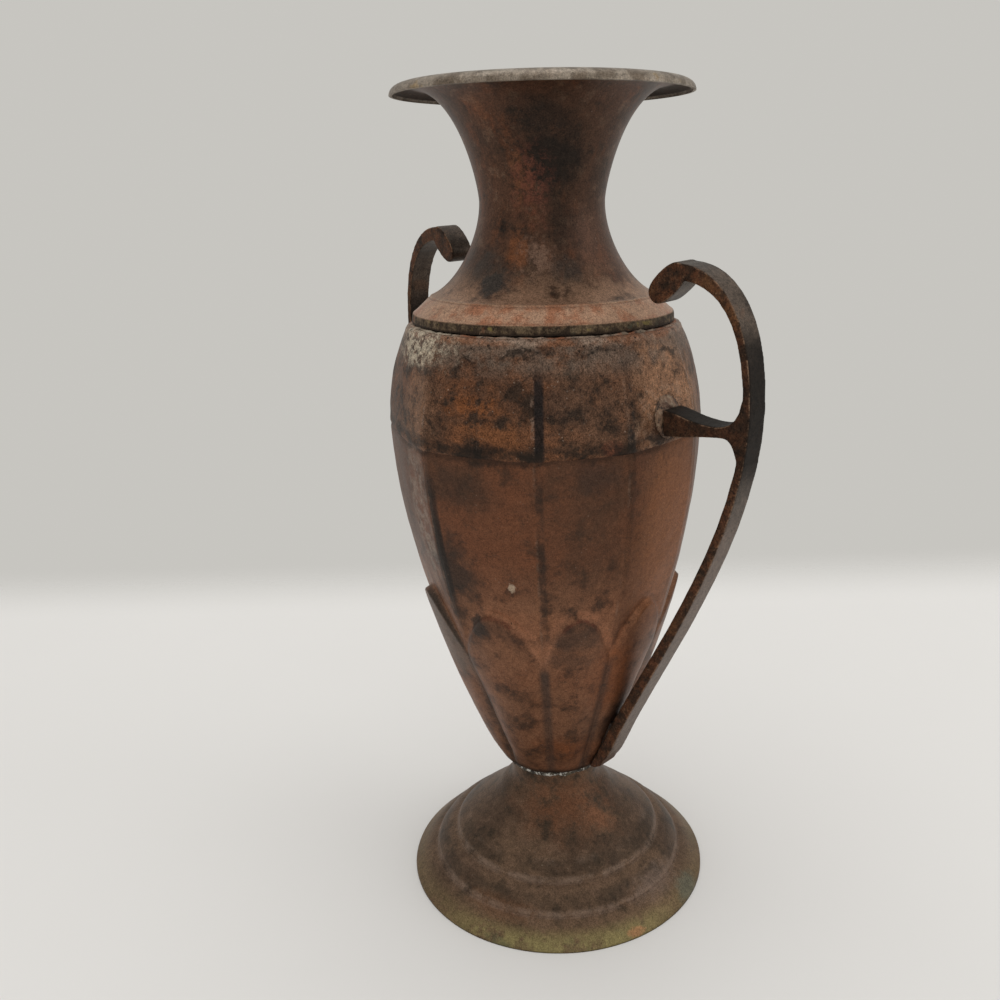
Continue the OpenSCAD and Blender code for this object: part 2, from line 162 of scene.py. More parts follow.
class Finish:
    """One procedural material, built from the object's own coordinates in millimetres."""

    def __init__(self, name):
        self.material = bpy.data.materials.new(name)
        self.material.use_nodes = True
        self.tree = self.material.node_tree
        self.tree.nodes.clear()
        own = self.node("TexCoord", out="Object")
        self.place = self.node("VectorMath", {"operation": "SCALE"}, {"Vector": own, "Scale": 1 / MM})

    def node(self, kind, settings=None, sockets=None, out=0):
        """Any node: its type, its settings, and the values or links of its sockets."""
        made = self.tree.nodes.new("ShaderNode" + kind)
        for key, value in (settings or {}).items():
            setattr(made, key, value)
        for key, value in (sockets or {}).items():
            if isinstance(value, Shade):
                self.tree.links.new(value.socket, made.inputs[key])
            elif isinstance(value, tuple) and len(value) == 3 and made.inputs[key].type == "RGBA":
                made.inputs[key].default_value = (*value, 1.0)
            else:
                made.inputs[key].default_value = value
        return Shade(self, made.outputs[out]) if len(made.outputs) else None

    def mark(self, name):
        """A value that the mesh carries."""
        return self.node("Attribute", {"attribute_name": name}, out="Fac")

    def height(self):
        """How high a point lies above the table."""
        return self.node("SeparateXYZ", {}, {0: self.place}, out="Z")

    def moved(self, by, stretch):
        """The place moved and stretched, so that no two patterns fall together."""
        return self.node("Mapping", {}, {"Vector": self.place, "Location": by, "Scale": stretch})

    def cloud(self, size, detail=4.0, rough=0.55, seed=(0.0, 0.0, 0.0), stretch=(1.0, 1.0, 1.0), warp=0.0):
        """Cloudy noise, around 0.5, with features of that size."""
        return self.node("TexNoise", {}, {"Vector": self.moved(seed, stretch), "Scale": 1.0 / size,
                                          "Detail": detail, "Roughness": rough, "Distortion": warp})

    def cells(self, size, seed=(0.0, 0.0, 0.0), stretch=(1.0, 1.0, 1.0)):
        """Distance from the middle of the nearest of many scattered grains, as a share of their size."""
        return self.node("TexVoronoi", {}, {"Vector": self.moved(seed, stretch), "Scale": 1.0 / size},
                         out="Distance")

    def spot(self, angle, radius, height, size, soft=0.35, ragged=0.5, rag_size=None):
        """1 in a ragged patch round one place: its angle in degrees, its radius and its height."""
        wide, tall = size
        centre = tuple(points_at(radius, math.radians(angle), height).tolist())
        away = self.node("VectorMath", {"operation": "SUBTRACT"}, {0: self.place, 1: centre})
        shrunk = (1 / wide, 1 / wide, 1 / tall)
        away = self.node("VectorMath", {"operation": "MULTIPLY"}, {0: away, 1: shrunk})
        length = self.node("VectorMath", {"operation": "LENGTH"}, {0: away}, out="Value")
        rag = self.cloud(rag_size or min(wide, tall) * 0.7, 4.0, 0.65, (angle, height, radius))
        return (length + (rag - 0.5) * (2.6 * ragged)).step(1 + soft, 1 - soft)

    def blend(self, mask, under, over, how="MIX"):
        """over laid on under where the mask is 1."""
        return self.node("Mix", {"data_type": "RGBA", "blend_type": how}, {0: mask, 6: under, 7: over}, out=2)

    def coats(self, colour, *layers):
        """The colour with layers laid on it in turn; each is its mask and its own colour."""
        for mask, over in layers:
            colour = self.blend(mask, colour, over)
        return colour

    def grained(self, colour, strength=1.0):
        """The colour with fine dark and light grain over it."""
        fine, coarse = self.cloud(0.6, 3, 0.85, (2.0, 9.0, 4.0)), self.cloud(2.0, 4, 0.75, (5.0, 2.0, 9.0))
        tone = (fine - 0.5) * (2.9 * strength) + (coarse - 0.5) * (1.5 * strength) + 1.0
        return self.blend(1.0, colour, tone.larger(0.25), "MULTIPLY")

    def metal(self, colour, roughness, relief, depth, metallic, specular):
        """The finished surface. depth is how far its relief stands up."""
        bump = self.node("Bump", {}, {"Strength": 1.0, "Distance": depth * MM, "Height": relief})
        shader = self.node("BsdfPrincipled", {}, {
            "Base Color": colour, "Roughness": roughness, "Normal": bump,
            "Metallic": metallic, "Specular IOR Level": specular})
        self.node("OutputMaterial", {}, {"Surface": shader})
        return self.material


foot_low = joined([[FOOT_R, 0.0], [FOOT_R, 0.7]],
                  bent((74.4, 1.2), LOW_STEP, ((0.26, 0.27), (0.62, 0.88)), 14))
foot_mid = joined(bent(LOW_STEP, LOW_SHELF, ((0.1, 0.3), (0.4, 0.95)), 4),
                  bent(LOW_SHELF, HIGH_STEP, ((0.17, 0.4), (0.58, 0.88)), 16))
foot_top = joined(bent(HIGH_STEP, HIGH_SHELF, ((0.1, 0.3), (0.4, 0.95)), 4),
                  bent(HIGH_SHELF, DOME_END, ((0.08, 0.2), (0.75, 0.65)), 24),
                  bent(DOME_END, STEM_START, ((0.42, 0.38), (1.0, 0.5)), 12),
                  [[STEM_R, z] for z in (56.0, 58.5, 61.0, FOOT_H)])
foot_out = joined(foot_low, foot_mid, foot_top)
foot_path = joined(foot_out, beside(foot_out, FOOT_SHEET)[::-1])
foot_marks = {"run": along(foot_path)[:, None], "inside": np.arange(len(foot_path))[:, None] >= len(foot_out)}
foot = sheet_piece("foot_spun", turned(foot_path, FOOT_TURNS, 0.16, 26.0, 3.0), foot_marks, 35)
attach(foot, "root")
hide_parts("foot")

FOOT_BROWN = (0.078, 0.048, 0.031)
FOOT_TAN = (0.130, 0.080, 0.050)
FOOT_STAIN = (0.034, 0.025, 0.017)
FOOT_BARE = (0.140, 0.086, 0.056)
STEP_SHADE = (0.036, 0.026, 0.018)
STEM_RUST = (0.170, 0.066, 0.030)
FLANGE_RUST = (0.130, 0.060, 0.030)
RIDGE_WEAR_AND_HIGHLIGHT = (0.215, 0.150, 0.112)
WORN_GREY = (0.170, 0.120, 0.094)
FLANGE_BROWN = (0.150, 0.098, 0.052)
VERDIGRIS = (0.240, 0.200, 0.085)
VERDIGRIS_DARK = (0.085, 0.088, 0.048)
EDGE_ORANGE = (0.320, 0.170, 0.080)
EDGE_GREEN = (0.120, 0.130, 0.098)
FOOT_SPECK = (0.210, 0.160, 0.120)
EDGE_BLACK = (0.020, 0.016, 0.012)
FOOT_INSIDE = (0.045, 0.034, 0.026)
f = Finish("foot_patina")
run, inside = f.mark("run"), f.mark("inside")
ridge_low = float(along(foot_low)[-1] + 1.0)
ridge_top = ridge_low + float(along(foot_mid)[-1])
clouds = f.cloud(34, 5, 0.6, (3.0, 1.0, 7.0))
mottle = f.cloud(9, 6, 0.68, (1.0, 5.0, 2.0))
grain = f.cloud(1.3, 3, 0.7)
# Painted shade: a darker band in the hollow just above each step's ridge
step_shade = (run.band(ridge_low + 5.5, 2.0, 3.5).larger(run.band(ridge_top + 5.5, 2.0, 4.0))
        * f.cloud(13, 4, 0.6, (6.0, 6.0, 1.0)).step(0.36, 0.60))
rust = f.spot(-36, 27, 47, (20, 11), 0.8, 0.6).larger(f.spot(-8, 31, 40, (11, 8), 0.8, 0.7))
# Worn pink along the step ridges, partly a painted highlight on them
worn_lit_ridges = ((run.band(ridge_low, 0.7, 2.2) + run.band(ridge_top, 0.7, 2.2))
              * f.cloud(7, 4, 0.7).step(0.32, 0.6))
worn_lit_ridges = (worn_lit_ridges + run.band(ridge_top + 9.0, 0.5, 2.4)
              * f.cloud(14, 3, 0.6, (9.0, 2.0, 1.0)).step(0.45, 0.7) * 0.5)
edge_zone = run.step(12.0, 3.5) * (1 - inside)
front = f.spot(-47, 74, 3, (50, 30), 0.5, 0.3, 14.0)
green = edge_zone * (front * 0.85 + 0.15) * f.cloud(9, 5, 0.7, (4.0, 4.0, 0.0)).step(0.30, 0.52)
specks = (f.cells(2.6, (5.0, 1.0, 1.0)).step(0.17, 0.08)
          * f.cloud(12, 3, 0.6, (2.0, 2.0, 2.0)).step(0.5, 0.66))
colour = f.coats(
    f.blend(clouds.step(0.38, 0.62), FOOT_BROWN, FOOT_TAN),
    # All over: stains and barer copper
    (mottle.step(0.5, 0.68) * 0.75, FOOT_STAIN),
    (mottle.step(0.47, 0.36) * 0.6, FOOT_BARE),
    # Painted shade in the hollows of the steps, rust under the stem, ridges rubbed bare and partly given a
    # painted highlight
    (step_shade * (1 - inside) * 0.55, STEP_SHADE),
    (rust * mottle.step(0.66, 0.42) * 0.62, STEM_RUST),
    (f.spot(-73, 60, 11, (16, 4), 0.5, 0.8) * 0.45, FLANGE_RUST),
    (worn_lit_ridges * 0.55, RIDGE_WEAR_AND_HIGHLIGHT),
    (f.spot(4, 61, 12, (13, 5), 0.6, 0.8) * 0.55, WORN_GREY),
    # The flange, green along its front edge
    (run.step(17.0, 6.0) * (1 - inside) * 0.45, FLANGE_BROWN),
    (green * 0.85, VERDIGRIS),
    (edge_zone * front * f.cloud(11, 4, 0.6, (8.0, 1.0, 3.0)).step(0.56, 0.70) * 0.6, VERDIGRIS_DARK),
    (f.spot(-17, 73, 2.4, (4.0, 1.6), 0.4, 0.8, 2.0) * 0.9, EDGE_ORANGE),
    (f.spot(16, 73, 3, (9, 5), 0.5, 0.6) * 0.6, EDGE_GREEN),
    (specks * 0.4, FOOT_SPECK))
# Faint rings left by the spinning tool
spinning = f.node("TexWave", {"wave_type": "RINGS", "rings_direction": "Z"},
                  {"Vector": f.place, "Scale": 0.35, "Distortion": 0.4, "Detail": 2.0})
relief = mottle * 0.5 + grain * 0.35 + spinning * 0.12 + green * 0.25
colour = f.coats(
    f.grained(colour, 0.85),
    (run.step(0.9, 0.2) * 0.6, EDGE_BLACK),
    (inside * 0.6, FOOT_INSIDE))
roughness = clouds * 0.25 + grain * 0.22 + 0.24
foot.data.materials.append(f.metal(colour, roughness, relief, depth=0.22, metallic=0.45, specular=0.12))

# ---------------------------------------------------------------- body, lower half
# The lower half is raised from sheet copper: ten panels meet at creases, and each carries an arched
# lobe pushed out from inside. The creases were set by hand and wander. Its foot end is soldered shut.

CREASES = np.array([-18.3, 16.0, 50.3, 84.7, 119.0, 153.3, 187.7, 222.0, 268.3, 309.7])
BASE_Z, SEAM_Z, TOP_Z = FOOT_H, 237.0, 281.0
BASE_R, SEAM_R, TOP_R = 25.9, 71.6, 59.9
SHEET, BULGE = 1.4, 0.4
# The panels melt into a round shoulder above FADE_Z
FADE_Z, FADE_H, CREASE_DEPTH, CREASE_W = 256.8, 23.2, 0.35, 1.1
# The lobes: top and springing of their arch, how far the crown stands out and the groove lies in
ARCH_Z, SPRING_Z, ARCH_POWER, CROWN, CROWN_SINK, GROOVE = 163.0, 137.0, 1.92, 1.1, 0.6, 1.8
FLOOR_Z, BOTTOM_EDGE_W, BOTTOM_EDGE_H = 65.8, 2.4, 2.6
PER_PANEL, CROWDING = 46, 1.45
belly = bent((BASE_R, BASE_Z), (SEAM_R, SEAM_Z), ((0.43, 0.24), (1.0, 0.68)), 200)
shoulder = bent((SEAM_R, SEAM_Z), (TOP_R, TOP_Z), ((0.0, 0.44), (0.56, 0.78)), 120)
profile = joined(belly, shoulder, [[57.9, 285.1]])


def crease_radius(z):
    return np.interp(z, profile[:, 1], profile[:, 0])


def eased(x):
    x = np.clip(x, 0, 1)
    return x * x * (3 - 2 * x)


def hump(x, middle, width):
    """A soft hump, 1 at its middle."""
    return np.exp(-((x - middle) / width) ** 2)


# Columns of the net: the same in every panel, closer together at the creases. net_u runs from -1 to
# 1 across a panel, net_half is half the panel's angle
t = np.linspace(-1, 1, PER_PANEL, endpoint=False)
net_u = np.tile(np.sign(t) * (1 - (1 - np.abs(t)) ** CROWDING), len(CREASES))
panel_ends = np.r_[CREASES[1:], CREASES[0] + 360]
net_half = np.repeat((panel_ends - CREASES) / 2, PER_PANEL)
net_angle = np.radians(np.repeat((CREASES + panel_ends) / 2, PER_PANEL) + net_u * net_half)
net_half = np.radians(net_half)


def panel_radius(u, half, z):
    """Radius of the panelled sheet, without its lobes."""
    r = crease_radius(z)
    flat = r * (np.cos(half) / np.cos(u * half) * (1 - BULGE) + BULGE)
    fade = np.clip((z - FADE_Z) / FADE_H, 0, 1)
    corner = (1 - np.abs(u)) * half * r
    return flat * (1 - fade) + r * fade - CREASE_DEPTH * hump(corner, 0, CREASE_W) * (1 - fade)


def arch_inside(u, half, z):
    """How far inside the arch's edge a point lies, less than 0 outside."""
    rise = ARCH_Z - (ARCH_Z - SPRING_Z) * np.abs(u) ** ARCH_POWER - z
    slope = (ARCH_Z - SPRING_Z) * ARCH_POWER * np.abs(u) ** (ARCH_POWER - 1) / (half * crease_radius(z))
    return rise / np.sqrt(1 + slope ** 2)


def lobed_radius(u, half, z, wander, angle):
    """Radius of the lower half, lobes included. Beside the right handle the grooves are shallow."""
    depth = 1 - 0.6 * hump(np.degrees(angle) % 360, 345, 16)
    r = crease_radius(z)
    grown = np.clip((z - BASE_Z) / 12, 0, 1)
    part = np.clip((ARCH_Z - z) / (ARCH_Z - SPRING_Z), 0, 1)
    crown = r + CROWN * grown - CROWN_SINK * (1 - part) ** 4
    groove = r - GROOVE * depth * np.clip((SPRING_Z - z) / 24, 0, 1) * grown
    lobe = crown * (1 - u * u) + groove * u * u
    inside_by = arch_inside(u, half, z) + wander
    step = eased((inside_by + 1.0) / 2.4)
    hollow = 0.35 * hump(inside_by, -1.8, 1.3) * eased((z - SPRING_Z) / 8)
    return panel_radius(u, half, z) * (1 - step) + lobe * step - hollow, inside_by


low_z = np.r_[np.linspace(64, 67, 5), np.linspace(68.2, 135, 54), np.linspace(135.8, 167, 52),
              np.linspace(168.2, 234, 56), 234.8, 235.4, 235.9, 236.3, 236.7, SEAM_Z][:, None]
rough_place = points_at(60, net_angle, low_z)
arch_wander = 0.8 * unevenness(rough_place, 14.0, 5.5)
radius, arch_by = lobed_radius(net_u, net_half, low_z, arch_wander, net_angle)
radius += 0.32 * unevenness(rough_place, 24.0, 1.5)
radius += 0.10 * unevenness(rough_place, 6.0, 9.5)
bottom_edge = 1 - np.clip((low_z - BASE_Z) / BOTTOM_EDGE_H, 0, 1)
radius -= BOTTOM_EDGE_W * (1 - np.sqrt(1 - bottom_edge ** 2))
radius -= 0.25 * eased((low_z - 235.2) / 1.5)
low_out = points_at(radius, net_angle, low_z)
inner_z = np.r_[SEAM_Z, np.linspace(232, 66, 30)][:, None]
low_in = points_at(lobed_radius(net_u, net_half, inner_z, 0, net_angle)[0] - SHEET, net_angle, inner_z)
under_rings = [low_out[0] * [q, q, 0] + [0, 0, BASE_Z] for q in (0.03, 0.4, 0.8)]
floor_rings = [low_in[-1] * [q, q, 0] + [0, 0, FLOOR_Z] for q in (0.66, 0.33, 0.03)]
low_rings = np.concatenate([under_rings, low_out, low_in, floor_rings])


def crease_marks(rings):
    """Signed distance from the nearest crease: more than 0 to its right."""
    angle, r = np.arctan2(rings[..., 1], rings[..., 0]), np.hypot(rings[..., 0], rings[..., 1])
    off = (np.degrees(angle)[..., None] - CREASES + 180) % 360 - 180
    nearest = np.take_along_axis(off, np.argmin(np.abs(off), -1)[..., None], -1)[..., 0]
    return np.radians(nearest) * r


outside_end = len(under_rings) + len(low_out)
low_arch = np.full(low_rings.shape[:2], -40.0)
low_arch[len(under_rings):outside_end] = arch_by
low_inside = np.arange(len(low_rings))[:, None] >= outside_end
body_lower = sheet_piece("body_lower_half", low_rings,
                         {"crease": crease_marks(low_rings), "arch": low_arch, "inside": low_inside},
                         60)
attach(body_lower, "root")
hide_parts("body_lower")

RED_BROWN = (0.142, 0.056, 0.028)
UMBER = (0.084, 0.041, 0.024)
SOOT = (0.018, 0.014, 0.011)
ORANGE = (0.168, 0.068, 0.031)
BODY_STAIN = (0.040, 0.026, 0.018)
BODY_RED = (0.160, 0.068, 0.034)
STREAK_DARK = (0.040, 0.027, 0.021)
LOBE_COPPER = (0.245, 0.114, 0.061)
LEFT_BLACK = (0.028, 0.022, 0.018)
SEAM_STAIN = (0.034, 0.024, 0.018)
PATCH_BLACK = (0.030, 0.024, 0.020)
SIDE_ORANGE_AND_LIGHT = (0.225, 0.088, 0.036)
RIM_HIGHLIGHT = (0.330, 0.150, 0.082)
SPANDREL_LIGHT = (0.230, 0.100, 0.052)
RIM_RED = (0.120, 0.030, 0.018)
RIM_SHADE = (0.040, 0.024, 0.017)
LOBE_SHADE = (0.062, 0.032, 0.021)
LOW_ORANGE = (0.185, 0.062, 0.024)
HANDLE_SHADE = (0.026, 0.016, 0.012)
VALLEY_SHADE = (0.036, 0.031, 0.027)
LEFT_SHEEN = (0.260, 0.208, 0.165)
LEFT_LOBE_SHEEN = (0.105, 0.084, 0.068)
LEFT_ARCH_SHADE = (0.030, 0.023, 0.018)
CREASE_DARK = (0.026, 0.020, 0.016)
LEFT_CREASE = (0.022, 0.017, 0.014)
CREASE_WORN = (0.200, 0.130, 0.092)
CHIP = (0.400, 0.300, 0.215)
BODY_FLECK = (0.220, 0.150, 0.110)
SCRATCH = (0.020, 0.016, 0.014)
BODY_INSIDE = (0.040, 0.026, 0.019)
b = Finish("lower_body_patina")
crease, arch, inside = b.mark("crease"), b.mark("arch"), b.mark("inside")
height = b.height()
clouds = b.cloud(42, 5, 0.6, (2.0, 7.0, 1.0), (1.0, 1.0, 0.7))
mottle = b.cloud(11, 7, 0.66, (7.0, 1.0, 5.0))
fibre = b.cloud(5, 6, 0.7, (1.0, 1.0, 9.0), (1.0, 1.0, 2.2), 0.6)
grain = b.cloud(1.1, 3, 0.7)
dark_left = b.spot(-87, 65, 183, (11, 15), 0.5, 0.8, 8.0)
# Orange patina on the right side, lightened there as painted light
side_orange_and_light = b.spot(4, 66, 196, (19, 42), 0.5, 0.35, 14.0)
facing = b.spot(-48, 58, 155, (29, 34), 0.5, 0.2, 20.0)
# Painted highlight along the outside of each arch's rim, mostly at the front
rim_highlight = arch.band(-1.6, 1.0, 2.6) * height.step(134, 142) * (facing * 0.85 + 0.15)
# Painted light on the panels just above the arches
lit_spandrel = height.band(152, 10, 9) * (1 - arch.step(-1.5, 0.0))
rim_line = arch.band(0.6, 0.2, 1.0) * height.step(152, 160) * fibre.step(0.40, 0.56)
beside_handle = b.spot(-1, 57, 150, (13, 34), 0.5, 0.2, 9.0)
under_rim = (1 - beside_handle) * arch.band(2.6, 0.6, 2.6) * height.step(140, 158) * mottle.step(0.40, 0.60)
shaded = (1 - beside_handle) * arch.band(4.5, 2.0, 5.0) * height.step(134, 156)
tops = (b.spot(-79, 58.5, 156, (5.5, 5), 0.4, 0.7, 4.0)
        .larger(b.spot(-37, 57, 152, (9, 7), 0.6, 0.7, 5.0) * 0.6))
tops = (tops.larger(b.spot(-38, 54, 141, (10, 5), 0.6, 0.9, 5.0) * 0.5)
        .larger(b.spot(150, 58, 155, (9, 7), 0.5, 0.8) * 0.7))
low_orange = (b.spot(-14, 50, 128, (11, 26), 0.5, 0.5, 9.0)
              .larger(b.spot(-36, 34, 84, (13, 8), 0.5, 0.6, 6.0)))
# Painted shade in the grooves between the lobes, low down
valley_shade = abs(crease).step(3.4, 0.8) * height.step(139, 132)
# A painted grey sheen on the far left side, left of the crease
left_sheen = b.spot(-101, 67, 203, (9, 40), 0.5, 0.3, 9.0) * crease.step(-1.0, -2.2)
# The far left lobe: a painted grey sheen, and painted shade just inside its arch's edge
left_lobe = b.spot(-104, 57, 146, (13, 34), 0.4, 0.3, 9.0) * arch.step(-2.0, 1.0)
front_line = b.spot(-50, 68, 200, (7, 74), 0.3, 0.2, 12.0)
ridge = crease.band(1.2, 0.9, 1.5) * height.step(138, 150)
left_dark = b.spot(-91, 66, 186, (6, 50), 0.4, 0.3, 9.0)
worn = (crease.band(-0.4, 0.25, 0.7) * height.step(140, 150)
        * b.cloud(9, 4, 0.7, (6.0, 6.0, 6.0)).step(0.48, 0.66))
seam_dark = (height + (mottle - 0.5) * 12.0).band(237.5, 1.2, 3.2) * clouds.step(0.34, 0.56)
bottom = (height + (mottle - 0.5) * 4.0).step(69.5, 65.5)
chip = b.spot(-61.5, 63.6, 178.5, (1.8, 3.2), 0.2, 0.6, 2.0)
flecks = (b.cells(3.1, (5.0, 1.0, 1.0)).step(0.15, 0.06)
          * b.cloud(9, 3, 0.6, (2.0, 2.0, 2.0)).step(0.5, 0.64))
scratch = (b.cells(7.0, (1.0, 4.0, 2.0), (1.0, 1.0, 5.0)).step(0.07, 0.02)
           * b.cloud(17, 3, 0.6, (8.0, 2.0, 2.0)).step(0.5, 0.6))
colour = b.coats(
    b.blend(clouds.step(0.36, 0.64), UMBER, RED_BROWN),
    # All over: stains, redder clouds, streaks, lighter lobes
    (mottle.step(0.50, 0.68) * 0.62, BODY_STAIN),
    (b.cloud(19, 5, 0.6, (3.0, 3.0, 3.0)).step(0.54, 0.70) * 0.6, BODY_RED),
    (fibre.step(0.56, 0.72) * 0.5, STREAK_DARK),
    (height.step(196, 164) * mottle.step(0.66, 0.42) * 0.58, LOBE_COPPER),
    # Black patches, and orange towards the right handle, partly painted light on that lit side
    (dark_left * 0.8, LEFT_BLACK),
    (b.spot(-81, 70, 222, (16, 8), 0.6, 0.8, 7.0) * 0.5, SEAM_STAIN),
    (b.spot(-30, 71, 229, (8, 7), 0.6, 0.7, 5.0) * 0.55, PATCH_BLACK),
    (side_orange_and_light * 0.8, SIDE_ORANGE_AND_LIGHT),
    # The arches: a painted highlight along the rims, painted light on the panels above, a red line, shade
    # below
    (rim_highlight * mottle.step(0.76, 0.44) * 0.85, RIM_HIGHLIGHT),
    (lit_spandrel * facing * mottle.step(0.66, 0.42) * 0.6, SPANDREL_LIGHT),
    (rim_line * facing * 0.7, RIM_RED),
    (under_rim * 0.5, RIM_SHADE),
    (shaded * 0.45, LOBE_SHADE),
    (tops * 0.85, PATCH_BLACK),
    # Low down: orange, painted shade behind the handle and in the valleys, a painted sheen on the left side
    (low_orange * mottle.step(0.68, 0.44) * 0.75, LOW_ORANGE),
    # Painted shade behind the lower end of the right handle
    (b.spot(-1, 40, 97, (7, 22), 0.5, 0.5, 8.0) * 0.7, HANDLE_SHADE),
    (valley_shade * (facing * 0.3 + 0.5), VALLEY_SHADE),
    (left_sheen * b.cloud(4, 5, 0.7, (2.0, 8.0, 8.0)).step(0.40, 0.60) * 0.6, LEFT_SHEEN),
    # The left lobe: a painted grey sheen, with painted shade along its arch's edge
    (left_lobe * 0.7, LEFT_LOBE_SHEEN),
    (left_lobe * arch.band(0.5, 0.4, 1.4) * 0.8, LEFT_ARCH_SHADE),
    (ridge * (front_line * 0.35 + 0.25) * mottle.step(0.36, 0.56), CREASE_DARK),
    (crease.band(1.6, 1.6, 1.4) * left_dark * 0.9, LEFT_CREASE),
    (worn * 0.35, CREASE_WORN),
    # Soot at the seam and at the bottom
    (seam_dark * 0.7, SOOT),
    (bottom * 0.85, SOOT),
    # A pale chip, flecks and scratches
    (chip * 0.9, CHIP),
    (flecks * 0.4, BODY_FLECK),
    (scratch * 0.6, SCRATCH))
relief = mottle * 0.45 + fibre * 0.25 + grain * 0.30 + scratch * -0.5 + chip * 0.6
colour = b.coats(
    b.grained(colour, 0.8),
    (inside * 0.8, BODY_INSIDE))
roughness = clouds * 0.16 + grain * 0.22 + mottle * 0.12 + 0.20
body_lower.data.materials.append(b.metal(colour, roughness, relief, depth=0.20, metallic=0.45, specular=0.14))

# ---------------------------------------------------------------- base solder
# A ring of soft solder joins the stem to the body. It was run in by hand: lumpy, mostly dirty black,
# with a few bits still bright.

RING_STEPS, RING_SIDES = 420, 14


def lumpy_ring(centre_r, centre_z, wide, tall, lumps, lump_size, seed):
    """Rings of points for a rough bead that runs right round the axis."""
    round_axis = np.linspace(0, 2 * math.pi, RING_STEPS, endpoint=False)
    rings = []
    for side in np.linspace(0, 2 * math.pi, RING_SIDES, endpoint=False)[::-1]:
        r, z = centre_r + wide * math.cos(side), centre_z + tall * math.sin(side)
        even = points_at(r, round_axis, z)
        push = lumps * (unevenness(even, lump_size, seed) + 0.4 * unevenness(even, lump_size * 0.4, seed + 3))
        rings.append(points_at(r + push * math.cos(side), round_axis, z + push * math.sin(side)))
    return np.array(rings)


bead = lumpy_ring(22.5, 62.6, 1.5, 1.3, 0.75, 3.2, 2.5)
base_solder = sheet_piece("base_solder_bead", bead, {}, 80)
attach(base_solder, "root")
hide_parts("base_solder")

SOLDER_BLACK = (0.022, 0.018, 0.015)
SOLDER_DIRTY = (0.080, 0.066, 0.050)
SOLDER_OCHRE = (0.120, 0.095, 0.050)
SOLDER_BRIGHT = (0.560, 0.540, 0.490)
s = Finish("base_solder_grey")
lumps = s.cloud(2.4, 5, 0.65)
bright = (s.cloud(3.6, 4, 0.6, (3.0, 8.0, 1.0)).step(0.50, 0.57)
          * s.spot(-52, 23, 62.6, (24, 9), 0.5, 0.4, 6.0))
bright = bright.larger(s.cloud(4.0, 4, 0.6, (1.0, 2.0, 6.0)).step(0.60, 0.66))
colour = s.coats(
    s.blend(lumps.step(0.36, 0.64), SOLDER_BLACK, SOLDER_DIRTY),
    (s.cloud(5, 4, 0.6).step(0.55, 0.68) * 0.5, SOLDER_OCHRE),
    (bright * 0.95, SOLDER_BRIGHT))
finish = s.metal(colour, 0.62 - bright * 0.2, lumps, depth=0.4, metallic=0.3, specular=0.5)
base_solder.data.materials.append(finish)

# ---------------------------------------------------------------- body, upper half
# The panelled shoulder sits over the lower half's lap, and a dark ragged line shows the joint. Its
# top is turned in as a ledge, cut on the slant so that the neck leans. Rough, with orange patches.

LEAN, LEAN_TO = math.radians(2.8), math.radians(105)
LEDGE_RADII, LEDGE_UNDER = (57.8, 56.5, 54.0, 51.0, 49.0), (49.0, 53.0, 57.5)


def slant(r):
    """How far the leaning top lies below TOP_Z at that radius."""
    return math.tan(LEAN) * r * np.cos(net_angle - LEAN_TO)


def up_height(share):
    """Height of the sheet at its share of the way from the seam to the slanting top."""
    return SEAM_Z + (TOP_Z - slant(TOP_R) - SEAM_Z) * share


up_share = np.r_[0, 0.006, 0.014, 0.026, np.linspace(0.045, 0.975, 50), 0.985, 0.993, 1.0][:, None]
rough_place = points_at(60, net_angle, up_height(up_share))
radius = panel_radius(net_u, net_half, SEAM_Z + (TOP_Z - SEAM_Z) * up_share)
radius += 0.34 * unevenness(rough_place, 24.0, 1.5)
radius += 0.16 * unevenness(rough_place, 5.0, 4.5)
# The lap: drawn in at the seam, with a low bulge just above it, then crumbs and a rounded top
radius -= 0.32 * (1 - eased(up_share / 0.02)) - 0.10 * hump(up_share, 0.04, 0.03)
crumbs = np.clip(unevenness(rough_place, 3.0, 7.5), 0, 1)
radius += 0.8 * crumbs * eased((up_share - 0.93) / 0.05) - 1.1 * eased((up_share - 0.978) / 0.022) ** 2
up_out = points_at(radius, net_angle, up_height(up_share))
ledge = [points_at(r, net_angle, TOP_Z - slant(r)) for r in LEDGE_RADII]
ledge += [points_at(r, net_angle, TOP_Z - SHEET - slant(r)) for r in LEDGE_UNDER]
inner_share = np.linspace(0.93, 0.0, 12)[:, None]
inner_r = panel_radius(net_u, net_half, SEAM_Z + (TOP_Z - SEAM_Z) * inner_share) - SHEET
up_rings = np.concatenate([up_out, ledge, points_at(inner_r, net_angle, up_height(inner_share))])
row = np.arange(len(up_rings))[:, None]
share_marks = np.ones(row.shape)
share_marks[:len(up_out)] = up_share
body_upper = sheet_piece("body_upper_half", up_rings,
                         {"crease": crease_marks(up_rings), "share": share_marks,
                          "inside": row >= len(up_out) + len(LEDGE_RADII)},
                         60)
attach(body_upper, "root")
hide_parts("body_upper")

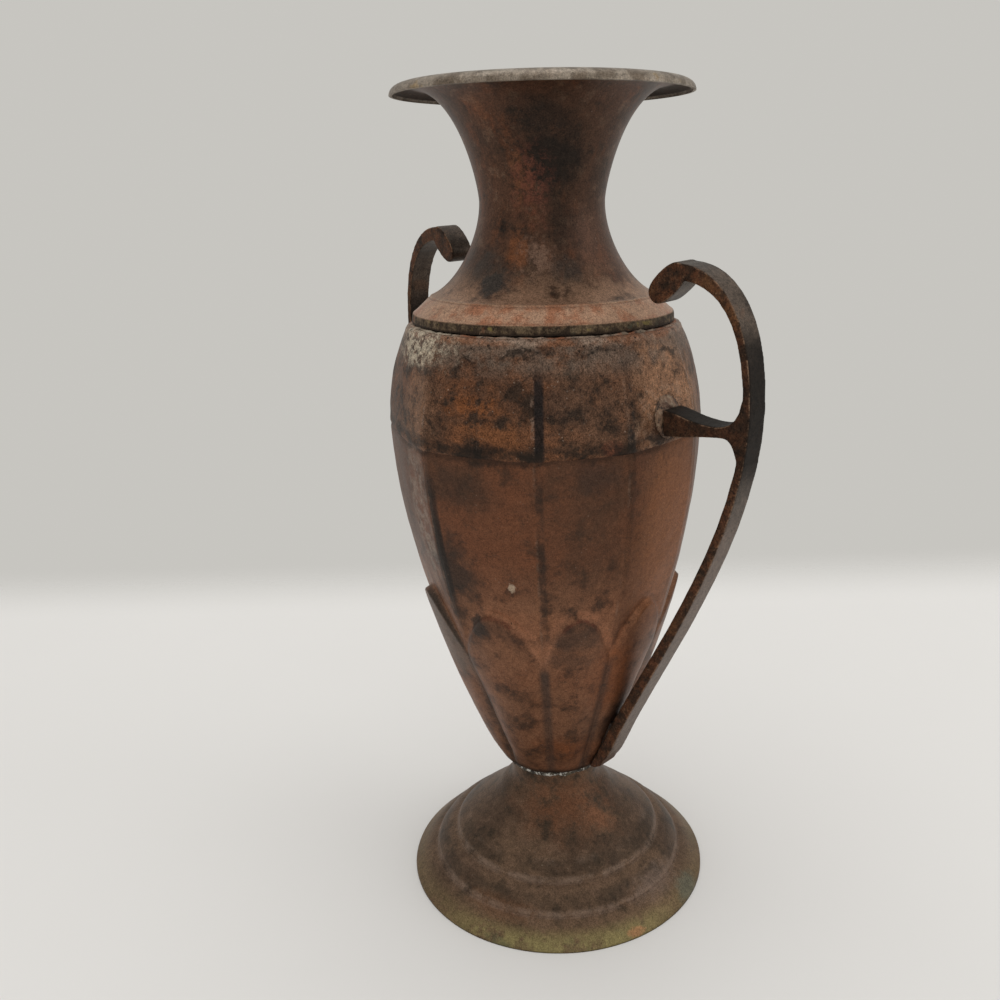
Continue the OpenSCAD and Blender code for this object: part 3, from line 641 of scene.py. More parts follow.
SHOULDER_RED = (0.118, 0.056, 0.031)
SHOULDER_STAIN = (0.027, 0.019, 0.014)
PANEL_ORANGE = (0.180, 0.070, 0.028)
TOP_ORANGE = (0.190, 0.068, 0.024)
RED_SPOT = (0.190, 0.058, 0.030)
SEAM_BLACK = (0.016, 0.013, 0.011)
MIDDLE_STAIN = (0.028, 0.020, 0.016)
RIGHT_TAN_AND_LIGHT = (0.310, 0.165, 0.092)
FRONT_TAN = (0.150, 0.082, 0.050)
LEFT_TAN_AND_LIGHT = (0.220, 0.120, 0.070)
FILM = (0.148, 0.108, 0.082)
TIDE_PALE = (0.260, 0.190, 0.145)
STRIPE_BLACK = (0.014, 0.012, 0.012)
STRIPE_GREY = (0.030, 0.026, 0.023)
SHOULDER_WORN = (0.250, 0.170, 0.128)
HALO = (0.300, 0.185, 0.120)
HALO_DARK = (0.050, 0.024, 0.016)
LEFT_HALO = (0.270, 0.170, 0.110)
CRUST_BEIGE = (0.250, 0.180, 0.135)
CRUST_RUST = (0.220, 0.100, 0.054)
CRUST_PALE = (0.470, 0.400, 0.300)
PIT_BLACK = (0.010, 0.008, 0.007)
SHOULDER_FLECK = (0.300, 0.235, 0.185)
u = Finish("upper_body_patina")
crease, share, inside = u.mark("crease"), u.mark("share"), u.mark("inside")
height = u.height()
clouds = u.cloud(30, 5, 0.6, (2.0, 7.0, 1.0))
mottle = u.cloud(8, 7, 0.68, (7.0, 1.0, 5.0))
patch = u.cloud(15, 6, 0.62, (4.0, 9.0, 2.0), (1.0, 1.0, 1.5))
grain = u.cloud(1.0, 3, 0.72)
# Tan patina on the right side, lightened there as painted light
right_tan_and_light = u.spot(4, 67, 254, (20, 30), 0.5, 0.4, 9.0)
film = share.step(0.62, 0.84) * u.cloud(13, 5, 0.65, (3.0, 1.0, 8.0)).step(0.38, 0.56)
tide = share + (u.cloud(16, 5, 0.6, (9.0, 1.0, 1.0)) - 0.5) * 0.45
broken = u.cloud(11, 5, 0.65, (6.0, 1.0, 5.0)).step(0.46, 0.60)
front_line = u.spot(-50, 70, 255, (7, 20), 0.25, 0.3, 5.0)
right_line = u.spot(-18, 70, 252, (7, 26), 0.3, 0.4, 5.0)
worn = (crease.band(-0.5, 0.3, 0.8) * share.step(0.95, 0.7)
        * u.cloud(6, 4, 0.7, (6.0, 6.0, 6.0)).step(0.44, 0.64))
halo = u.spot(0, 69, 247, (17, 15), 0.35, 0.7, 5.0) * u.cloud(3.4, 5, 0.7).step(0.45, 0.58)
left_halo = u.spot(170.4, 69, 255, (16, 15), 0.35, 0.7, 5.0) * u.cloud(3.4, 5, 0.7).step(0.45, 0.58)
crust = share.step(0.925, 0.965) * u.cloud(6, 5, 0.7, (2.0, 8.0, 3.0)).step(0.36, 0.52)
crust_colour = u.blend(u.cloud(17, 4, 0.6, (1.0, 1.0, 4.0)).step(0.44, 0.60), CRUST_BEIGE, CRUST_RUST)
beige = (u.spot(-104, 60, 279, (19, 8), 0.5, 0.7, 5.0)
         * u.cloud(3.0, 4, 0.7, (1.0, 2.0, 3.0)).step(0.42, 0.54))
pits = (u.cells(2.6, (4.0, 1.0, 1.0)).step(0.30, 0.12) * share.step(0.84, 0.94)
        * u.cloud(6, 3, 0.6, (7.0, 1.0, 2.0)).step(0.5, 0.6))
flecks = (u.cells(2.2, (5.0, 1.0, 1.0)).step(0.20, 0.08)
          * u.cloud(7, 3, 0.6, (2.0, 2.0, 2.0)).step(0.48, 0.60))
colour = u.coats(
    u.blend(clouds.step(0.36, 0.64), UMBER, SHOULDER_RED),
    # All over: orange patches under dark mottling
    (patch.step(0.48, 0.64) * 0.65, ORANGE),
    (mottle.step(0.46, 0.62) * 0.85, SHOULDER_STAIN),
    (u.cloud(5, 5, 0.7, (1.0, 6.0, 6.0)).step(0.58, 0.70) * 0.6, SOOT),
    (u.spot(-65, 70.5, 246, (15, 6), 0.7, 0.8, 6.0) * mottle.step(0.62, 0.46) * 0.75, PANEL_ORANGE),
    (u.spot(-72, 68, 258, (12, 4), 0.5, 0.8, 5.0) * mottle.step(0.60, 0.46) * 0.8, TOP_ORANGE),
    (u.spot(-24.5, 70.5, 240, (4, 3), 0.5, 0.6, 3.0) * 0.6, RED_SPOT),
    (u.spot(-70, 71, 240, (9, 4), 0.5, 0.7, 4.0) * 0.8, SEAM_BLACK),
    (u.spot(-37, 68, 259, (10, 8), 0.6, 0.9, 6.0) * 0.45, MIDDLE_STAIN),
    # Painted light making the sides lighter, and a dull film near the top
    (right_tan_and_light * mottle.step(0.72, 0.46) * 0.8, RIGHT_TAN_AND_LIGHT),
    (u.spot(-28, 69, 260, (17, 22), 0.6, 0.5, 8.0) * mottle.step(0.66, 0.44) * 0.5, FRONT_TAN),
    # Tan on the far left side, lightened there as painted light
    (u.spot(-98, 68, 252, (12, 18), 0.5, 0.5, 7.0) * mottle.step(0.66, 0.42) * 0.65, LEFT_TAN_AND_LIGHT),
    (film * 0.65, FILM),
    # A broken tide line
    (tide.band(0.85, 0.016, 0.035) * broken * 0.8, SOOT),
    (tide.band(0.885, 0.006, 0.014) * broken * 0.3, TIDE_PALE),
    (crease.band(2.1, 1.3, 1.2) * (front_line * 0.75 + 0.15), STRIPE_BLACK),
    (crease.band(0.8, 1.2, 1.4) * right_line * mottle.step(0.40, 0.58) * 0.7, STRIPE_GREY),
    (worn * (right_line * -0.45 + 0.65), SHOULDER_WORN),
    # Corroded halos round the spurs
    (halo * 0.7, HALO),
    (u.spot(0, 70, 244, (12, 8), 0.5, 0.8, 4.0) * 0.7, HALO_DARK),
    (left_halo * 0.6, LEFT_HALO),
    # The crusted top with its pits
    (crust * 0.85, crust_colour),
    (beige * 0.85, CRUST_PALE),
    (pits * 0.9, PIT_BLACK),
    (flecks * 0.5, SHOULDER_FLECK))
seam_dark = (height + (mottle - 0.5) * 14.0).band(238.5, 1.6, 3.6) * patch.step(0.60, 0.44)
relief = mottle * 0.40 + grain * 0.45 + crust * 0.4 - pits * 0.6 + halo * 0.3
colour = u.coats(
    u.grained(colour, 1.45),
    (seam_dark * 0.8, SOOT),
    (inside * 0.8, BODY_INSIDE))
roughness = clouds * 0.12 + grain * 0.26 + mottle * 0.14 + 0.22
body_upper.data.materials.append(u.metal(colour, roughness, relief, depth=0.32, metallic=0.40, specular=0.12))

# ---------------------------------------------------------------- shoulder solder
# Solder was flooded between the ledge and the neck's collar. It has crusted along the ledge: beige and
# rusty lumps with black gaps, and two blobs that bridge the slit at the right.

CRUST_Z, BED_Z = 281.05, 281.5
# Blobs on the crust: their angle in degrees, their width and how much of a full blob they are
BLOBS = ((-12.5, 1.6, 0.85), (-4.0, 2.6, 0.9), (-108, 5, 0.5))


def leaned(points):
    """Points tilted with the neck about the middle of the body's top."""
    tilt = Matrix.Rotation(LEAN_TO, 3, "Z") @ Matrix.Rotation(LEAN, 3, "Y")
    tilt = np.array(tilt @ Matrix.Rotation(-LEAN_TO, 3, "Z"))
    return (points - [0, 0, TOP_Z]) @ tilt.T + [0, 0, TOP_Z]


crust = lumpy_ring(57.2, CRUST_Z, 1.35, 0.42, 0.42, 3.4, 6.5)
crust_angle = np.degrees(np.arctan2(crust[0, :, 1], crust[0, :, 0]))
bulk = sum(full * hump(crust_angle, at, wide) for at, wide, full in BLOBS)
crust[..., 2] = CRUST_Z + (crust[..., 2] - CRUST_Z) * (1 + 1.3 * bulk) + 0.35 * bulk
crust_ring = sheet_piece("shoulder_solder_crust", leaned(crust), {"blob": bulk}, 80)
bed = lumpy_ring(53.2, BED_Z, 3.2, 0.5, 0.0, 4.0, 1.0)
bed_ring = sheet_piece("shoulder_solder_bed", leaned(bed), {}, 80)

BEAD_BEIGE = (0.260, 0.190, 0.140)
BEAD_RUST = (0.230, 0.092, 0.046)
BEAD_PALE = (0.430, 0.370, 0.280)
BLOB_GREY = (0.150, 0.120, 0.085)
BEAD_GAP = (0.022, 0.016, 0.012)
s = Finish("shoulder_crust")
lumps = s.cloud(2.6, 5, 0.68)
colour = s.coats(
    s.blend(s.cloud(14, 4, 0.6, (2.0, 3.0, 1.0)).step(0.42, 0.60), BEAD_BEIGE, BEAD_RUST),
    (s.spot(-104, 59, 281, (22, 9), 0.5, 0.6, 6.0) * 0.7, BEAD_PALE),
    (s.mark("blob").step(0.15, 0.5) * 0.8, BLOB_GREY),
    (lumps.step(0.50, 0.38) * 0.8, BEAD_GAP))
finish = s.metal(colour, lumps * 0.2 + 0.6, lumps, depth=0.5, metallic=0.1, specular=0.3)
crust_ring.data.materials.append(finish)

BED_BROWN = (0.040, 0.030, 0.022)
s = Finish("shoulder_bed_black")
lumps = s.cloud(3.0, 5, 0.65)
colour = s.blend(lumps.step(0.4, 0.62), PIT_BLACK, BED_BROWN)
finish = s.metal(colour, lumps * 0.2 + 0.6, lumps, depth=0.4, metallic=0.1, specular=0.3)
bed_ring.data.materials.append(finish)

for piece in (crust_ring, bed_ring):
    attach(piece, "root")
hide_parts("shoulder_solder")

# ---------------------------------------------------------------- neck
# The neck is spun from one sheet: a turned-down collar, a sloping top with a ring line, a waisted
# trumpet and a lip that droops at its edge. It is smoother than the body, with streaks that run down.

# Heights of the profile are counted from the collar's lower edge
NECK_TURNS, COLLAR_Z, COLLAR_R = 288, 282.0, 57.6
COLLAR_BEND, SLOPE_START, SLOPE_END, FLARE_START = (57.4, 3.3), (56.6, 4.3), (50.4, 10.0), (49.4, 11.0)
WAIST, LIP_TOP, LIP_EDGE = (27.0, 50.0), (56.2, 96.2), (62.3, 92.8)
collar = joined([[COLLAR_R, 0.0], [COLLAR_R, 1.2], [57.55, 2.4]],
                bent(COLLAR_BEND, SLOPE_START, ((0.1, 0.5), (0.5, 0.95)), 4))
slope = joined(bent(SLOPE_START, SLOPE_END, ((0.33, 0.30), (0.66, 0.66)), 8),
               bent(SLOPE_END, FLARE_START, ((0.3, 0.1), (0.9, 0.6)), 4))
flare = bent(FLARE_START, WAIST, ((0.53, 0.12), (1.0, 0.62)), 40)
trumpet = bent(WAIST, LIP_TOP, ((0.0, 0.15), (0.28, 1.0)), 50)
droop = bent(LIP_TOP, LIP_EDGE, ((0.49, 0.0), (1.0, 0.3)), 12)
neck_line = joined(collar, slope, flare, trumpet, droop)
neck_path = joined(neck_line, beside(neck_line, SHEET)[::-1])
# On the inside a point has the run of the point outside it
run_marks = np.r_[along(neck_line), along(neck_line)[::-1]][:, None]
inside_marks = np.arange(len(neck_path))[:, None] >= len(neck_line)
neck = sheet_piece("neck_spun", leaned(turned(neck_path + [0, COLLAR_Z], NECK_TURNS, 0.14, 28.0, 8.0)),
                   {"run": run_marks, "inside": inside_marks, "up": neck_path[:, 1:]}, 40)
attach(neck, "root")
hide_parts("neck")

NECK_DARK = (0.046, 0.027, 0.018)
NECK_BROWN = (0.092, 0.043, 0.025)
STREAK_RUST = (0.140, 0.050, 0.022)
NECK_STAIN = (0.028, 0.020, 0.015)
NECK_BARE = (0.150, 0.088, 0.056)
NECK_FRONT_SHADE = (0.026, 0.017, 0.011)
NECK_BLACK = (0.013, 0.010, 0.008)
DRIP_ORANGE = (0.185, 0.068, 0.028)
NECK_RED = (0.150, 0.050, 0.032)
NECK_SOOT = (0.016, 0.012, 0.009)
SLATE = (0.040, 0.037, 0.033)
NECK_PALE = (0.250, 0.150, 0.105)
NECK_WARM = (0.120, 0.058, 0.036)
NECK_FOOT = (0.320, 0.188, 0.118)
NECK_FOOT_PALE = (0.340, 0.205, 0.132)
SLOPE_PINK = (0.400, 0.245, 0.160)
SLOPE_RUST = (0.340, 0.145, 0.078)
RING_LINE = (0.110, 0.064, 0.042)
RING_WORN = (0.330, 0.225, 0.150)
COLLAR_DARK = (0.030, 0.021, 0.014)
COLLAR_OCHRE = (0.140, 0.100, 0.060)
COLLAR_YELLOW = (0.190, 0.150, 0.050)
COLLAR_GREEN = (0.075, 0.080, 0.055)
COLLAR_RUST = (0.210, 0.080, 0.040)
COLLAR_BLACK = (0.010, 0.007, 0.005)
LIP_UNDER = (0.034, 0.024, 0.017)
LIP_GREY = (0.150, 0.118, 0.088)
LIP_PALE = (0.300, 0.255, 0.205)
LIP_OCHRE = (0.330, 0.225, 0.100)
LIP_SPOT = (0.070, 0.052, 0.038)
NECK_INSIDE = (0.046, 0.030, 0.022)
NECK_FLECK = (0.250, 0.190, 0.150)
n = Finish("neck_patina")
run, inside, up = n.mark("run"), n.mark("inside"), n.mark("up")
collar_run, slope_run = float(along(collar)[-1]), float(along(joined(collar, slope))[-1])
lip_run = float(along(joined(collar, slope, flare, trumpet))[-1])
clouds = n.cloud(30, 5, 0.6, (6.0, 2.0, 1.0), (1.0, 1.0, 0.45))
streak = n.cloud(9, 5, 0.62, (2.0, 4.0, 1.0), (1.0, 1.0, 0.28))
mottle = n.cloud(7, 7, 0.68, (3.0, 1.0, 8.0))
grain = n.cloud(0.9, 3, 0.7)
black = (n.spot(-36, 31, 349, (14, 13), 0.5, 0.6, 8.0)
         .larger(n.spot(-45, 38, 364, (13, 9), 0.5, 0.8, 7.0) * 0.7))
black = (black.larger(n.spot(-81.6, 28.2, 324.5, (2.8, 3.4), 0.4, 0.6, 2.0))
         .larger(n.spot(-20, 29, 324, (8, 11), 0.6, 0.8, 5.0) * 0.6))
black = black.larger(n.spot(120, 32, 345, (14, 12), 0.5, 0.8, 8.0) * 0.8)
drip = (n.spot(-65, 31, 316, (4.5, 18), 0.4, 0.5, 4.0)
        .larger(n.spot(-62, 28.6, 341, (5, 12), 0.5, 0.8, 4.0) * 0.6))
drip = (drip.larger(n.spot(-89, 39, 367, (7, 9), 0.6, 0.8, 5.0) * 0.4)
        .larger(n.spot(60, 31, 318, (5, 16), 0.5, 0.6, 5.0)))
reddish = (n.spot(-54, 28, 339, (8, 13), 0.6, 0.8, 5.0)
           * n.cloud(3.5, 5, 0.7, (8.0, 1.0, 3.0)).step(0.40, 0.58))
sooted = (n.spot(-58, 32, 352, (17, 16), 0.6, 0.6, 7.0)
          * n.cloud(2.6, 5, 0.75, (3.0, 7.0, 9.0)).step(0.52, 0.62))
slate = (n.spot(-77, 38, 301, (8, 9), 0.5, 0.7, 5.0)
         .larger(n.spot(-90, 36, 309, (8, 7), 0.6, 0.8, 5.0) * 0.8))
slate = (slate.larger(n.spot(-30, 35, 306, (6, 6), 0.6, 0.8, 4.0) * 0.6)
         .larger(n.spot(140, 38, 302, (12, 7), 0.6, 0.8) * 0.8))
warm = n.spot(12, 32, 312, (15, 22), 0.6, 0.4, 9.0)
foot_zone = run.step(slope_run + 24, slope_run + 3) * (1 - inside)
above_line = (run.step(slope_run + 11, slope_run + 2) * (1 - inside)
              * n.cloud(12, 6, 0.66, (3.0, 8.0, 2.0)).step(0.62, 0.40))
top_slope = run.band((collar_run + slope_run) / 2, (slope_run - collar_run) / 2, 1.2) * (1 - inside)
top_colour = n.blend(n.cloud(12, 5, 0.6, (5.0, 3.0, 1.0)).step(0.42, 0.60), SLOPE_PINK, SLOPE_RUST)
ring_line = run.band(slope_run - 0.6, 0.2, 0.5) * (1 - inside)
band_zone = run.step(collar_run - 0.3, collar_run - 1.2) * (1 - inside)
band_colour = n.coats(
    n.blend(n.cloud(4, 5, 0.7, (2.0, 1.0, 5.0)).step(0.42, 0.62), COLLAR_DARK, COLLAR_OCHRE),
    (n.cloud(6, 4, 0.65, (7.0, 7.0, 2.0)).step(0.56, 0.66) * up.band(2.4, 0.5, 0.7) * 0.8, COLLAR_YELLOW),
    (n.cloud(9, 4, 0.65, (1.0, 7.0, 4.0)).step(0.58, 0.68) * 0.6, COLLAR_GREEN),
    (n.cloud(12, 4, 0.6, (4.0, 4.0, 4.0)).step(0.56, 0.68) * 0.6, COLLAR_RUST),
    ((up + mottle * 1.6).step(2.1, 1.1) * 0.9, COLLAR_BLACK))
lip_zone = run.step(lip_run - 3.0, lip_run + 1.5)
under_lip = lip_zone * (1 - inside)
lip_top = run.step(lip_run - 4.0, lip_run + 0.5) * inside
lip_edge = run.step(lip_run + 6.0, lip_run + 6.6)
lip_colour = n.coats(
    n.blend(n.cloud(8, 6, 0.65, (1.0, 9.0, 2.0)).step(0.38, 0.62), LIP_GREY, LIP_PALE),
    (n.cloud(11, 4, 0.6, (4.0, 1.0, 2.0)).step(0.60, 0.70) * 0.6, LIP_OCHRE),
    (mottle.step(0.60, 0.74) * 0.5, LIP_SPOT))
flecks = (n.cells(2.6, (5.0, 1.0, 1.0)).step(0.14, 0.06)
          * n.cloud(8, 3, 0.6, (2.0, 2.0, 2.0)).step(0.48, 0.60))
colour = n.coats(
    n.blend(clouds.step(0.36, 0.62), NECK_DARK, NECK_BROWN),
    # All over: rusty streaks, stains and barer copper
    (streak.step(0.52, 0.68) * 0.6, STREAK_RUST),
    (mottle.step(0.52, 0.68) * 0.7, NECK_STAIN),
    (mottle.step(0.46, 0.34) * 0.6, NECK_BARE),
    # Painted shade: the front of the neck darkened
    (n.spot(-28, 34, 352, (26, 30), 0.7, 0.4, 12.0) * 0.5, NECK_FRONT_SHADE),
    # Black patches, orange drips, a reddened and sooty middle
    (black * 0.88, NECK_BLACK),
    (drip * mottle.step(0.68, 0.44) * 0.8, DRIP_ORANGE),
    (reddish * 0.6, NECK_RED),
    (sooted * 0.75, NECK_SOOT),
    # Slate patches low down, lighter between them
    (slate * 0.85, SLATE),
    (n.spot(-50, 32, 312, (7, 8), 0.6, 0.7, 4.0) * mottle.step(0.40, 0.58) * 0.6, NECK_PALE),
    (warm * 0.5, NECK_WARM),
    (foot_zone * (1 - slate) * n.cloud(10, 5, 0.66, (1.0, 8.0, 1.0)).step(0.34, 0.54) * 0.8, NECK_FOOT),
    (above_line * (1 - slate) * 0.8, NECK_FOOT_PALE),
    # The sloping top and its ring line
    (top_slope * 0.88, top_colour),
    (ring_line * 0.4, RING_LINE),
    (run.band(slope_run + 0.5, 0.3, 0.8) * (1 - inside) * mottle.step(0.4, 0.6) * 0.6, RING_WORN),
    # The collar's edge, the lip and the inside
    (band_zone * 0.95, band_colour),
    (under_lip * 0.8, LIP_UNDER),
    (lip_top.larger(lip_edge) * 0.9, lip_colour),
    (inside * run.step(lip_run - 2.0, lip_run - 16.0) * 0.75, NECK_INSIDE),
    (flecks * 0.35, NECK_FLECK))
relief = mottle * 0.40 + grain * 0.30 + streak * 0.2
colour = n.grained(colour)
roughness = clouds * 0.15 + grain * 0.20 + mottle * 0.12 + 0.18 + (band_zone + under_lip) * 0.3
finish = n.metal(colour, roughness, relief, depth=0.18, metallic=0.48 - under_lip * 0.46, specular=0.18)
neck.data.materials.append(finish)

# ---------------------------------------------------------------- handles
# Two copies of one casting in a flat bar: strap, scroll and spur in one. The sawn side faces are rough
# and rusty, and the wide faces were filed smooth and have gone grey-brown. Edges are worn.

HANDLE_W, LEFT_TURN, LEFT_RISE = 11.5, 170.4, 8.4


def only_largest(mesh):
    """A thin edge breaks into crumbs in the remesh: only the largest body of faces is kept."""
    net = bmesh.new()
    net.from_mesh(mesh)
    left, bodies = set(net.verts), []
    while left:
        body, reached = set(), [left.pop()]
        while reached:
            vert = reached.pop()
            body.add(vert)
            fresh = [e.other_vert(vert) for e in vert.link_edges if e.other_vert(vert) in left]
            left.difference_update(fresh)
            reached.extend(fresh)
        bodies.append(body)
    crumbs = [v for body in sorted(bodies, key=len)[:-1] for v in body]
    if crumbs:
        bmesh.ops.delete(net, geom=crumbs, context="VERTS")
        net.to_mesh(mesh)
    net.free()


def of_each(mesh, what):
    """Every vertex's co or normal, as rows of three numbers."""
    values = np.zeros(len(mesh.vertices) * 3)
    mesh.vertices.foreach_get(what, values)
    return values.reshape(-1, 3)


def cast_piece(name, node, turn, voxel, soften, lumps, seed):
    """The node's own solid with its hard edges softened and its faces slightly uneven."""
    piece = bpy.data.objects.new(name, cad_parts[node].data.copy())
    bpy.context.scene.collection.objects.link(piece)
    remesh = piece.modifiers.new("fused", "REMESH")
    remesh.mode, remesh.voxel_size, remesh.use_smooth_shade = "VOXEL", voxel * MM, True
    smooth = piece.modifiers.new("filed", "SMOOTH")
    smooth.factor, smooth.iterations = 0.5, soften
    mesh = bpy.data.meshes.new_from_object(piece.evaluated_get(bpy.context.evaluated_depsgraph_get()))
    piece.modifiers.clear()
    piece.data = mesh
    mesh.name = name
    only_largest(mesh)
    co, normals = of_each(mesh, "co") / MM, of_each(mesh, "normal")
    co += normals * (lumps * (unevenness(co, 4.0, seed) + 2 * unevenness(co, 17.0, seed + 2) - 1))[:, None]
    mesh.vertices.foreach_set("co", (co * MM).reshape(-1))
    across = points_at(1, math.radians(turn + 90), 0)
    marks = {"side": np.abs(normals @ across), "across": np.abs(co @ across) / (HANDLE_W / 2)}
    for key, values in marks.items():
        mesh.attributes.new(key, "FLOAT", "POINT").data.foreach_set("value", values.astype(np.float32))
    mesh.materials.clear()
    mesh.shade_smooth()
    mesh.update()
    return piece


RUST_DARK = (0.034, 0.020, 0.013)
RUST_BROWN = (0.098, 0.040, 0.020)
RUST_ORANGE = (0.135, 0.062, 0.026)
RUST_PALE = (0.190, 0.105, 0.058)
PORE_BLACK = (0.012, 0.009, 0.007)
FILED_DARK = (0.050, 0.037, 0.028)
FILED_GREY = (0.092, 0.068, 0.052)
FILED_STAIN = (0.030, 0.024, 0.019)
FILED_RUST = (0.130, 0.072, 0.044)
FILED_PALE = (0.200, 0.165, 0.130)
FILED_LOW = (0.155, 0.112, 0.088)
HANDLE_BLACK = (0.011, 0.008, 0.006)
SOOTY_RUST = (0.030, 0.017, 0.011)
EDGE_BRIGHT = (0.260, 0.165, 0.105)
EDGE_NICK = (0.018, 0.013, 0.010)
HEEL_RED = (0.105, 0.048, 0.030)
h = Finish("handle_rust")
side, across = h.mark("side"), h.mark("across")
pores = h.cloud(1.6, 4, 0.75)
mottle = h.cloud(6, 6, 0.68, (2.0, 5.0, 1.0))
clouds = h.cloud(22, 4, 0.6, (4.0, 1.0, 1.0))
height = h.height()
sooty = (height + (clouds - 0.5) * 30.0).band(256, 20, 16)
rust = h.coats(
    h.blend(mottle.step(0.38, 0.62), RUST_DARK, RUST_BROWN),
    (clouds.step(0.52, 0.66) * 0.6, RUST_ORANGE),
    (pores.step(0.55, 0.70) * 0.6, RUST_PALE),
    (pores.step(0.46, 0.34) * 0.75, PORE_BLACK),
    (sooty * 0.45, SOOTY_RUST))
filed = h.coats(
    h.blend(clouds.step(0.38, 0.62), FILED_DARK, FILED_GREY),
    (mottle.step(0.54, 0.68) * 0.6, FILED_STAIN),
    (h.cloud(14, 5, 0.6, (7.0, 7.0, 1.0)).step(0.55, 0.68) * 0.5, FILED_RUST),
    (pores.step(0.60, 0.74) * 0.35, FILED_PALE),
    ((height + clouds * 20.0).step(235, 205) * 0.7, FILED_LOW),
    (sooty * 0.92, HANDLE_BLACK))
edge = side.band(0.70, 0.12, 0.16) * across.step(0.80, 0.92)
colour = h.coats(
    h.blend(side.step(0.45, 0.80), filed, rust),
    # Edges worn bright, with dark nicks
    (edge * mottle.step(0.42, 0.60) * 0.6, EDGE_BRIGHT),
    (edge * mottle.step(0.50, 0.40) * 0.6, EDGE_NICK),
    ((height + mottle * 6.0).step(84, 70) * 0.5, HEEL_RED))
relief = pores * 0.6 * side + mottle * 0.4 + pores * 0.2
colour = h.grained(colour, 1.2)
roughness = side * 0.14 + pores * 0.22 + sooty * 0.16 + 0.30
handle_finish = h.metal(colour, roughness, relief, depth=0.34, metallic=0.40, specular=0.12)


def fill_heel(mesh, turn, rise):
    """The heel's lower corner made fuller, as the file left it: outwards only, by up to 3 mm."""
    co = of_each(mesh, "co") / MM
    out = points_at(1, math.radians(turn), 0)
    low = co[:, 2] - rise
    push = np.interp(low, [66, 67.2, 70, 74, 82], [0.6, 1.0, 2.4, 2.8, 0])
    share = np.clip((co @ out - 28 - 0.5 * (low - 67)) / 5.5, 0, 1)
    mesh.vertices.foreach_set("co", ((co + out * (push * share)[:, None]) * MM).reshape(-1))
    mesh.update()


for node, turn, rise, seed in (("handle_right", 0.0, 0.0, 1.0), ("handle_left", LEFT_TURN, LEFT_RISE, 6.0)):
    handle = cast_piece(node + "_casting", node, turn, 0.42, 16, 0.05, seed)
    fill_heel(handle.data, turn, rise)
    handle.data.materials.append(handle_finish)
    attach(handle, "root")
    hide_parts(node)

# ---------------------------------------------------------------- spur and heel solder
# Each spur and each heel was fixed with soft solder. Round the spurs it has corroded to a dull crust
# with a few pale lumps; behind the heels only a thin dark line of it shows.

SPUR_BROWN = (0.080, 0.040, 0.024)
SPUR_BEIGE = (0.230, 0.138, 0.084)
SPUR_PALE = (0.330, 0.255, 0.180)
SPUR_GAP = (0.018, 0.013, 0.010)
s = Finish("spur_solder_crust")
lumps = s.cloud(2.2, 6, 0.7, (1.0, 4.0, 1.0))
patch = s.cloud(6.0, 4, 0.6, (5.0, 4.0, 1.0))
colour = s.coats(
    s.blend(patch.step(0.40, 0.60), SPUR_BROWN, SPUR_BEIGE),
    (lumps.step(0.52, 0.64) * 0.7, SPUR_PALE),
    (lumps.step(0.47, 0.37) * 0.85, SPUR_GAP))
spur_finish = s.metal(colour, lumps * 0.2 + 0.55, lumps, depth=0.6, metallic=0.1, specular=0.35)
HEEL_BLACK = (0.014, 0.010, 0.008)
HEEL_BROWN = (0.060, 0.036, 0.024)
s = Finish("heel_solder_dark")
lumps = s.cloud(2.0, 5, 0.68)
colour = s.blend(lumps.step(0.42, 0.64), HEEL_BLACK, HEEL_BROWN)
heel_finish = s.metal(colour, lumps * 0.2 + 0.5, lumps, depth=0.4, metallic=0.1, specular=0.35)

# Voxel size of the remesh, turns of smoothing, height of the lumps, and the finish of each kind
PADS = {"spur_solder": (0.35, 3, 0.28, spur_finish), "heel_solder": (0.16, 0, 0.0, heel_finish)}
for kind, (voxel, soften, lump, finish) in PADS.items():
    for hand, turn in (("right", 0.0), ("left", LEFT_TURN)):
        node = kind + "_" + hand
        pad = cast_piece(node + "_run", node, turn, voxel, soften, lump, 4.0)
        pad.data.materials.append(finish)
        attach(pad, "root")
        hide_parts(node)

# ---------------------------------------------------------------- table and light
# The vase stands on plain white paper that fades out behind it. The light is soft and comes from all
# round, with a little more from above and from the right.

PAPER_LOW = (0.705, 0.696, 0.676)
PAPER_HIGH = (0.716, 0.708, 0.688)
DAYLIGHT = (1.0, 0.985, 0.965)
BACKGROUND = (0.572, 0.560, 0.528)
# The camera looks this way round the vase, and the paper fades out between these distances behind it
VIEW = math.radians(43.5)
BEND_START, BEND_END = 300.0, 415.0

bpy.ops.mesh.primitive_grid_add(x_subdivisions=2, y_subdivisions=2, size=6.0)
paper = bpy.context.object
paper.name = "paper"
p = Finish("white_paper")
behind = p.node("VectorMath", {"operation": "DOT_PRODUCT"},
                {0: p.place, 1: (-math.sin(VIEW), math.cos(VIEW), 0.0)}, out="Value")
colour = p.blend(p.cloud(90, 3, 0.5), PAPER_LOW, PAPER_HIGH)
white = p.node("BsdfPrincipled", {}, {"Base Color": colour, "Roughness": 0.9, "Specular IOR Level": 0.1})
turned_up = p.node("MixShader", {}, {0: behind.step(BEND_START, BEND_END), 1: white,
                                     2: p.node("BsdfTransparent")})
p.node("OutputMaterial", {}, {"Surface": turned_up})
paper.data.materials.append(p.material)


class Surroundings(Finish):
    """The room round the vase, made of nodes in the same way."""

    def __init__(self, world):
        world.use_nodes = True
        self.tree = world.node_tree
        self.tree.nodes.clear()


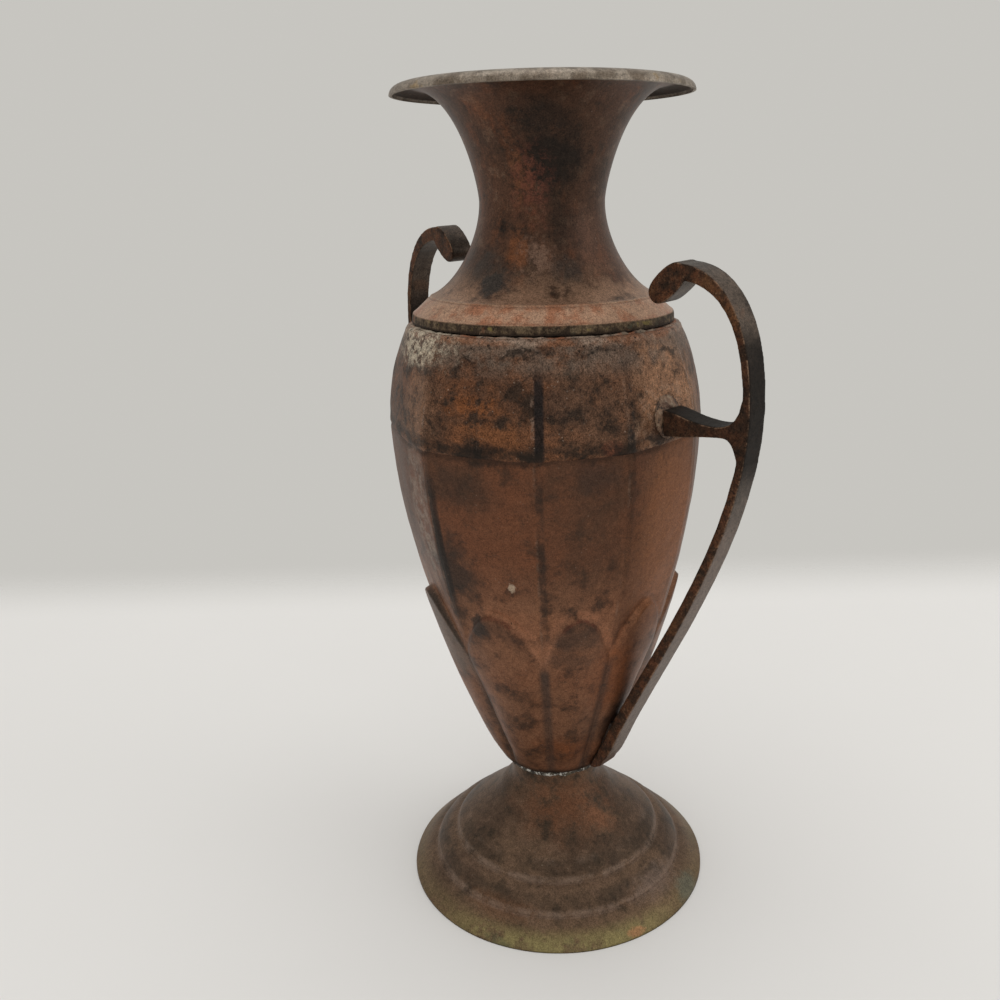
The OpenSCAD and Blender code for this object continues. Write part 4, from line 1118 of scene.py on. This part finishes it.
bpy.context.scene.world = bpy.data.worlds.new("room")
w = Surroundings(bpy.context.scene.world)
rays = [w.node("LightPath", out=kind) for kind in ("Is Camera Ray", "Is Glossy Ray", "Is Transmission Ray")]
light = w.node("Background", {}, {"Color": DAYLIGHT, "Strength": 0.83})
seen = w.node("Background", {}, {"Color": BACKGROUND, "Strength": 1.0})
room = w.node("MixShader", {}, {0: rays[0].larger(rays[1]).larger(rays[2]), 1: light, 2: seen})
w.node("OutputWorld", {}, {"Surface": room})

# Large soft lamps aimed at the middle of the vase: place and size in metres, power in watts
LAMPS = {"window_right": ((1.5, 0.9, 1.1), 1.3, 4.5), "ceiling": ((-0.1, 0.1, 1.9), 1.6, 9.0)}
for name, (place, size, power) in LAMPS.items():
    data = bpy.data.lights.new(name, "AREA")
    data.shape, data.size, data.energy = "DISK", size, power
    lamp = bpy.data.objects.new(name, data)
    bpy.context.scene.collection.objects.link(lamp)
    lamp.location = place
    lamp.rotation_euler = (Vector((0, 0, 0.18)) - Vector(place)).to_track_quat("-Z", "Y").to_euler()

# ---------------------------------------------------------------- camera
# A phone held about 46 cm from the axis, a little lower than the lip, looking down by 19 degrees and
# tilted slightly.

YAW, PITCH, ROLL = math.radians(-2.76), math.radians(19.0), math.radians(-2.5)
LENS, SENSOR, AWAY, EYE_HEIGHT = 37.53, 36.0, 0.4634, 0.3573
right = Vector((math.cos(YAW), -math.sin(YAW), 0))
ahead = Vector((math.sin(YAW) * math.cos(PITCH), math.cos(YAW) * math.cos(PITCH), -math.sin(PITCH)))
over = Vector((math.sin(YAW) * math.sin(PITCH), math.cos(YAW) * math.sin(PITCH), math.cos(PITCH)))
x_axis = right * math.cos(ROLL) + over * math.sin(ROLL)
y_axis = right * -math.sin(ROLL) + over * math.cos(ROLL)
held = Matrix((x_axis, y_axis, -ahead)).transposed().to_4x4()
camera = bpy.data.objects.new("camera", bpy.data.cameras.new("camera"))
camera.data.lens, camera.data.sensor_width = LENS, SENSOR
bpy.context.scene.collection.objects.link(camera)
camera.matrix_world = Matrix.Rotation(VIEW, 4, "Z") @ Matrix.Translation((0, -AWAY, EYE_HEIGHT)) @ held
bpy.context.scene.camera = camera
bpy.context.scene.view_settings.view_transform = "Standard"
